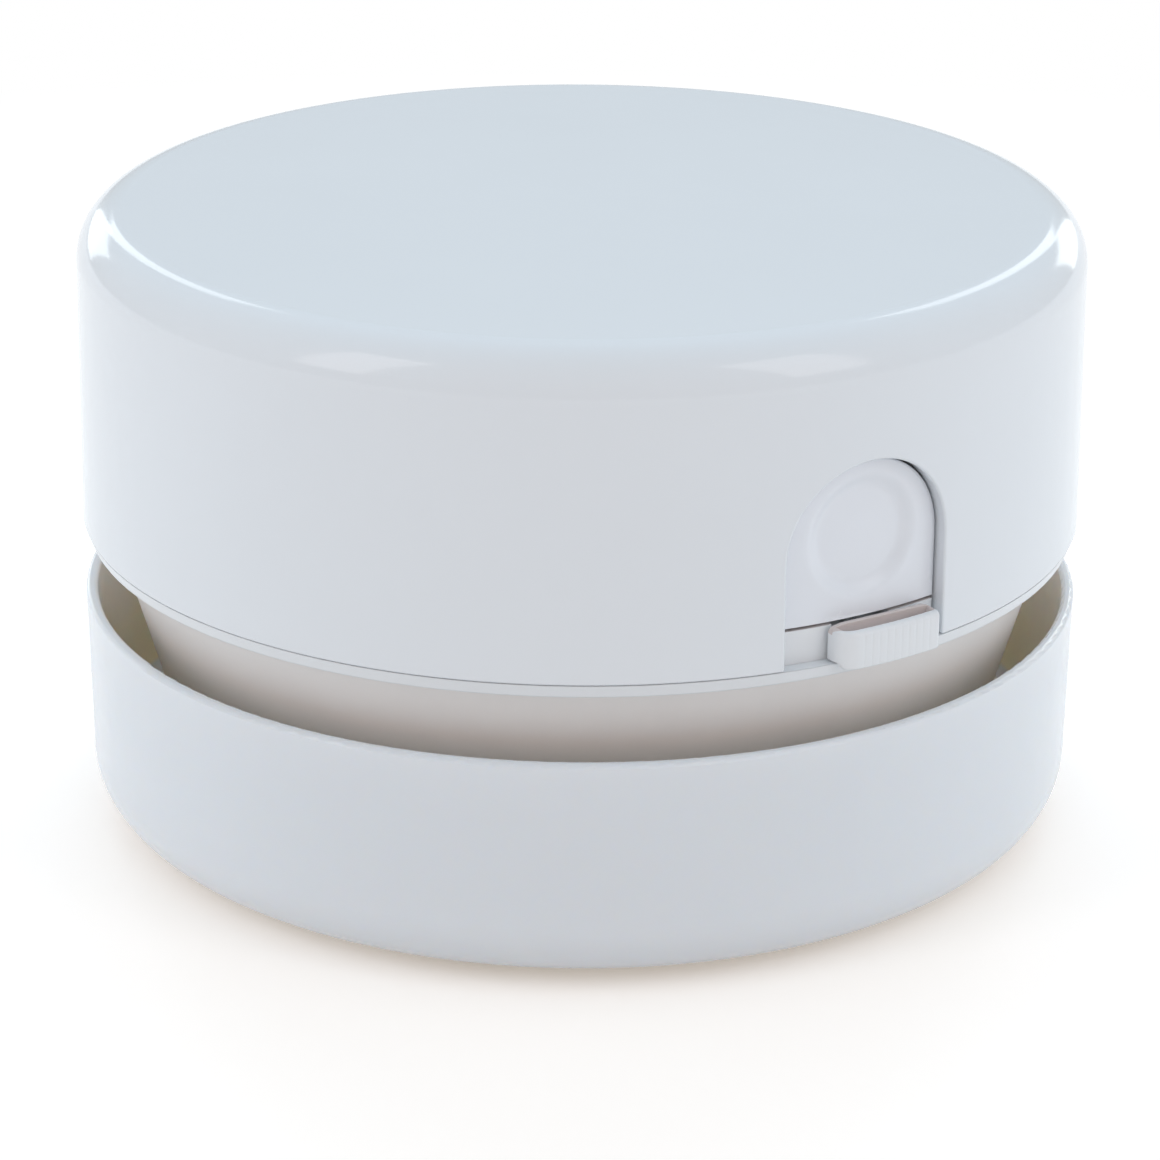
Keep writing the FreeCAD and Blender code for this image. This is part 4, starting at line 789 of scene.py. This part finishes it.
def lead(name, points, finish):
    """A thin insulated wire on a smooth line, soldered at both ends."""
    line = bpy.data.curves.new(name + "_line", "CURVE")
    line.dimensions = "3D"
    spline = line.splines.new("NURBS")
    spline.points.add(len(points) - 1)
    for spot, place in zip(spline.points, points):
        spot.co = (*place, 1.0)
    spline.order_u = 3
    spline.use_endpoint_u = True
    spline.resolution_u = 10
    holder = bpy.data.objects.new(name + "_line", line)
    bpy.context.scene.collection.objects.link(holder)
    bpy.context.view_layer.update()
    sampled = bpy.data.meshes.new_from_object(holder)
    path = [tuple(v.co) for v in sampled.vertices]
    bpy.data.objects.remove(holder)
    bpy.data.meshes.remove(sampled)
    piece(name + "_wire", *tube(path, 0.6, 14), finish, "upper_unit", finish, [name])
    ends = [tube([points[0], Vector(points[0]).lerp(Vector(points[1]), 0.5)], 0.75, 12),
            tube([points[-1], Vector(points[-1]).lerp(Vector(points[-2]), 0.5)], 0.75, 12)]
    piece(name + "_solder", *join(*ends), "solder", "upper_unit", "screw_steel", bevel=0.25, steps=3)


lead("lead_in", [(CELL_X, -27.8, 40.25), (CELL_X, -27.8, 42.2), (19.4, -27.2, 44.2), (25.4, -22.6, 43.6),
                 (28.4, -15.0, 41.4), (29.0, -8.0, 38.9), (30.6, -TERMINAL_Y, TERMINAL_Z),
                 (BOARD_X, -TERMINAL_Y, TERMINAL_Z)], "red_lead")
lead("lead_motor", [(BOARD_X, TERMINAL_Y, TERMINAL_Z), (30.8, TERMINAL_Y, TERMINAL_Z), (28.2, 5.2, 40.6),
                    (25.2, 5.0, 44.6), (19.6, 4.6, 46.9), (11.85, 4.7, 47.25), (9.65, 4.7, 47.25)],
     "red_lead")
lead("lead_return", [(-CELL_X, -27.8, 40.25), (-CELL_X, -27.8, 42.4), (-16.9, -26.2, 45.2),
                     (-16.4, -21.4, 46.8), (-15.4, -13.8, 47.2), (-11.85, -4.7, 47.25),
                     (-9.65, -4.7, 47.25)], "black_lead")


# Stage, light and camera


def direction(azimuth, elevation):
    """A unit vector; azimuth 0 points at the viewer (-Y) and 90 to the right (+X)."""
    a, e = math.radians(azimuth), math.radians(elevation)
    return Vector((math.sin(a) * math.cos(e), -math.cos(a) * math.cos(e), math.sin(e)))


AIM = Vector((0, 0, 0.0276))


def soft_box(name, azimuth, elevation, distance, wide, tall, level, colour, mirrored):
    """An area lamp that faces the object; level is its brightness, where 1 is white.

    mirrored says whether its reflection shows on glossy faces.
    """
    lamp = bpy.data.lights.new(name, "AREA")
    lamp.shape = "RECTANGLE"
    lamp.size = wide
    lamp.size_y = tall
    lamp.energy = level * math.pi * wide * tall
    lamp.color = colour
    obj = bpy.data.objects.new(name, lamp)
    way = direction(azimuth, elevation)
    obj.location = AIM + way * distance
    obj.rotation_euler = way.to_track_quat("Z", "Y").to_euler()
    obj.visible_camera = False
    obj.visible_glossy = mirrored
    bpy.context.scene.collection.objects.link(obj)


soft_box("left_rear", -150, 10, 1.0, 0.30, 0.28, 1.8, (0.92, 1.0, 1.04), True)
soft_box("left_strip", -159, 28, 1.0, 0.12, 0.40, 1.7, (0.92, 1.0, 1.04), True)
soft_box("right_rear", 149, 9, 1.0, 0.30, 0.28, 2.1, (0.96, 1.01, 1.0), True)
soft_box("right_strip", 159, 29, 1.0, 0.13, 0.42, 1.8, (0.94, 1.0, 1.04), True)
soft_box("left_front", -56, 36, 0.9, 0.26, 0.62, 1.46, (1.03, 0.98, 0.99), True)
soft_box("right_front", 56, 38, 0.9, 0.30, 0.62, 1.24, (1.05, 0.99, 0.99), True)
soft_box("left_side", -98, 9, 0.9, 0.60, 0.50, 1.25, (0.84, 1.02, 1.13), False)
soft_box("right_side", 98, 9, 0.9, 0.60, 0.50, 1.15, (0.78, 1.02, 1.17), False)
soft_box("back", 180, 40, 0.9, 0.9, 0.6, 1.0, (0.70, 1.0, 1.25), False)

# The world lights with a warm colour low down and a cool one high up, mirrors as one plain grey, and is
# white for the camera.
WARM_LOW = (0.82, 0.62, 0.53, 1)
COOL_HIGH = (0.564, 0.70, 0.78, 1)
MIRRORED = (0.45, 0.42, 0.38, 1)
PAPER_WHITE = (1, 1, 1, 1)
COOL_FROM = 0.9
world = bpy.data.worlds.new("studio")
bpy.context.scene.world = world
studio = Tree(world)
way = studio.add("ShaderNodeTexCoord").outputs["Generated"]
upward = studio.add("ShaderNodeSeparateXYZ", {0: way}).outputs[2]
graded = studio.blend(studio.math("DIVIDE", upward, COOL_FROM, clamp=True), WARM_LOW, COOL_HIGH)
plain = studio.add("ShaderNodeBackground", {"Color": graded}).outputs[0]
mirror = studio.add("ShaderNodeBackground", {"Color": MIRRORED}).outputs[0]
white = studio.add("ShaderNodeBackground", {"Color": PAPER_WHITE}).outputs[0]
rays = studio.add("ShaderNodeLightPath").outputs
bounced = studio.math("MAXIMUM", rays["Is Glossy Ray"], rays["Is Transmission Ray"])
as_mirrored = studio.add("ShaderNodeMixShader", {0: bounced, 1: plain, 2: mirror}).outputs[0]
as_seen = studio.add("ShaderNodeMixShader", {0: rays["Is Camera Ray"], 1: as_mirrored, 2: white}).outputs[0]
studio.add("ShaderNodeOutputWorld", {0: as_seen})


def floor_finish():
    """A white table: plain for the light, and lifted to white for the camera except in the shadow."""
    material = bpy.data.materials.new("table_top")
    tree = Tree(material)
    rays = tree.add("ShaderNodeLightPath").outputs
    where = tree.places()
    fleck = tree.spread(tree.noise(where, 3.0), 0.3, 0.7, 0.985, 1.0)
    flecked = tree.blend(fleck, (0.80, 0.79, 0.78, 1), (0.84, 0.83, 0.82, 1))
    white = tree.add("ShaderNodeBsdfDiffuse", {"Color": flecked})
    shade = tree.add("ShaderNodeBsdfDiffuse", {"Color": (0.82, 0.81, 0.82, 1)})
    glow = tree.add("ShaderNodeEmission", {"Color": (0.36, 0.32, 0.27, 1), "Strength": 1.0})
    near = tree.add("ShaderNodeAddShader", {0: shade.outputs[0], 1: glow.outputs[0]})
    reach = tree.add("ShaderNodeVectorMath", {0: where}, operation="LENGTH").outputs["Value"]
    paper = tree.add("ShaderNodeEmission", {"Color": PAPER_WHITE, "Strength": 1.0})
    seen = tree.add("ShaderNodeMixShader", {0: tree.spread(reach, 110.0, 260.0), 1: near.outputs[0],
                                            2: paper.outputs[0]})
    clear = tree.add("ShaderNodeBsdfTransparent")
    below = tree.add("ShaderNodeNewGeometry").outputs["Backfacing"]
    bright = tree.math("MAXIMUM", rays["Is Camera Ray"], rays["Is Glossy Ray"])
    top = tree.add("ShaderNodeMixShader", {0: bright, 1: white.outputs[0], 2: seen.outputs[0]})
    both = tree.add("ShaderNodeMixShader", {0: below, 1: top.outputs[0], 2: clear.outputs[0]})
    tree.add("ShaderNodeOutputMaterial", {"Surface": both.outputs[0]})
    return material


TABLE_HALF = 4
table_corners = [(-TABLE_HALF, -TABLE_HALF, 0), (TABLE_HALF, -TABLE_HALF, 0),
                 (TABLE_HALF, TABLE_HALF, 0), (-TABLE_HALF, TABLE_HALF, 0)]
floor_mesh = bpy.data.meshes.new("table_top")
floor_mesh.from_pydata(table_corners, [], [(0, 1, 2, 3)])
floor_mesh.materials.append(floor_finish())
floor = bpy.data.objects.new("table_top", floor_mesh)
bpy.context.scene.collection.objects.link(floor)

# The camera as fitted to the photograph: lengths in its pixels, angles in degrees, the roll in radians.
PHOTO_WIDTH = 1160
FOCAL_LENGTH = 3925.3
AIM_ACROSS = 580.56
AIM_DOWN = 491.07
SENSOR_WIDTH = 36
CAMERA_DISTANCE = 0.344
CAMERA_ELEVATION = 20.144
CAMERA_ROLL = 0.007
lens = bpy.data.cameras.new("camera")
lens.sensor_fit = "HORIZONTAL"
lens.sensor_width = SENSOR_WIDTH
lens.lens = SENSOR_WIDTH * FOCAL_LENGTH / PHOTO_WIDTH
lens.shift_x = (PHOTO_WIDTH / 2 - AIM_ACROSS) / PHOTO_WIDTH
lens.shift_y = (AIM_DOWN - PHOTO_WIDTH / 2) / PHOTO_WIDTH
lens.clip_start = 0.01
camera = bpy.data.objects.new("camera", lens)
bpy.context.scene.collection.objects.link(camera)
back = direction(0, CAMERA_ELEVATION)
camera.location = AIM + back * CAMERA_DISTANCE
tilt = (-back).to_track_quat("-Z", "Y").to_matrix().to_4x4() @ Matrix.Rotation(CAMERA_ROLL, 4, "Z")
camera.rotation_euler = tilt.to_euler()
bpy.context.scene.camera = camera
bpy.context.scene.view_settings.view_transform = "Standard"
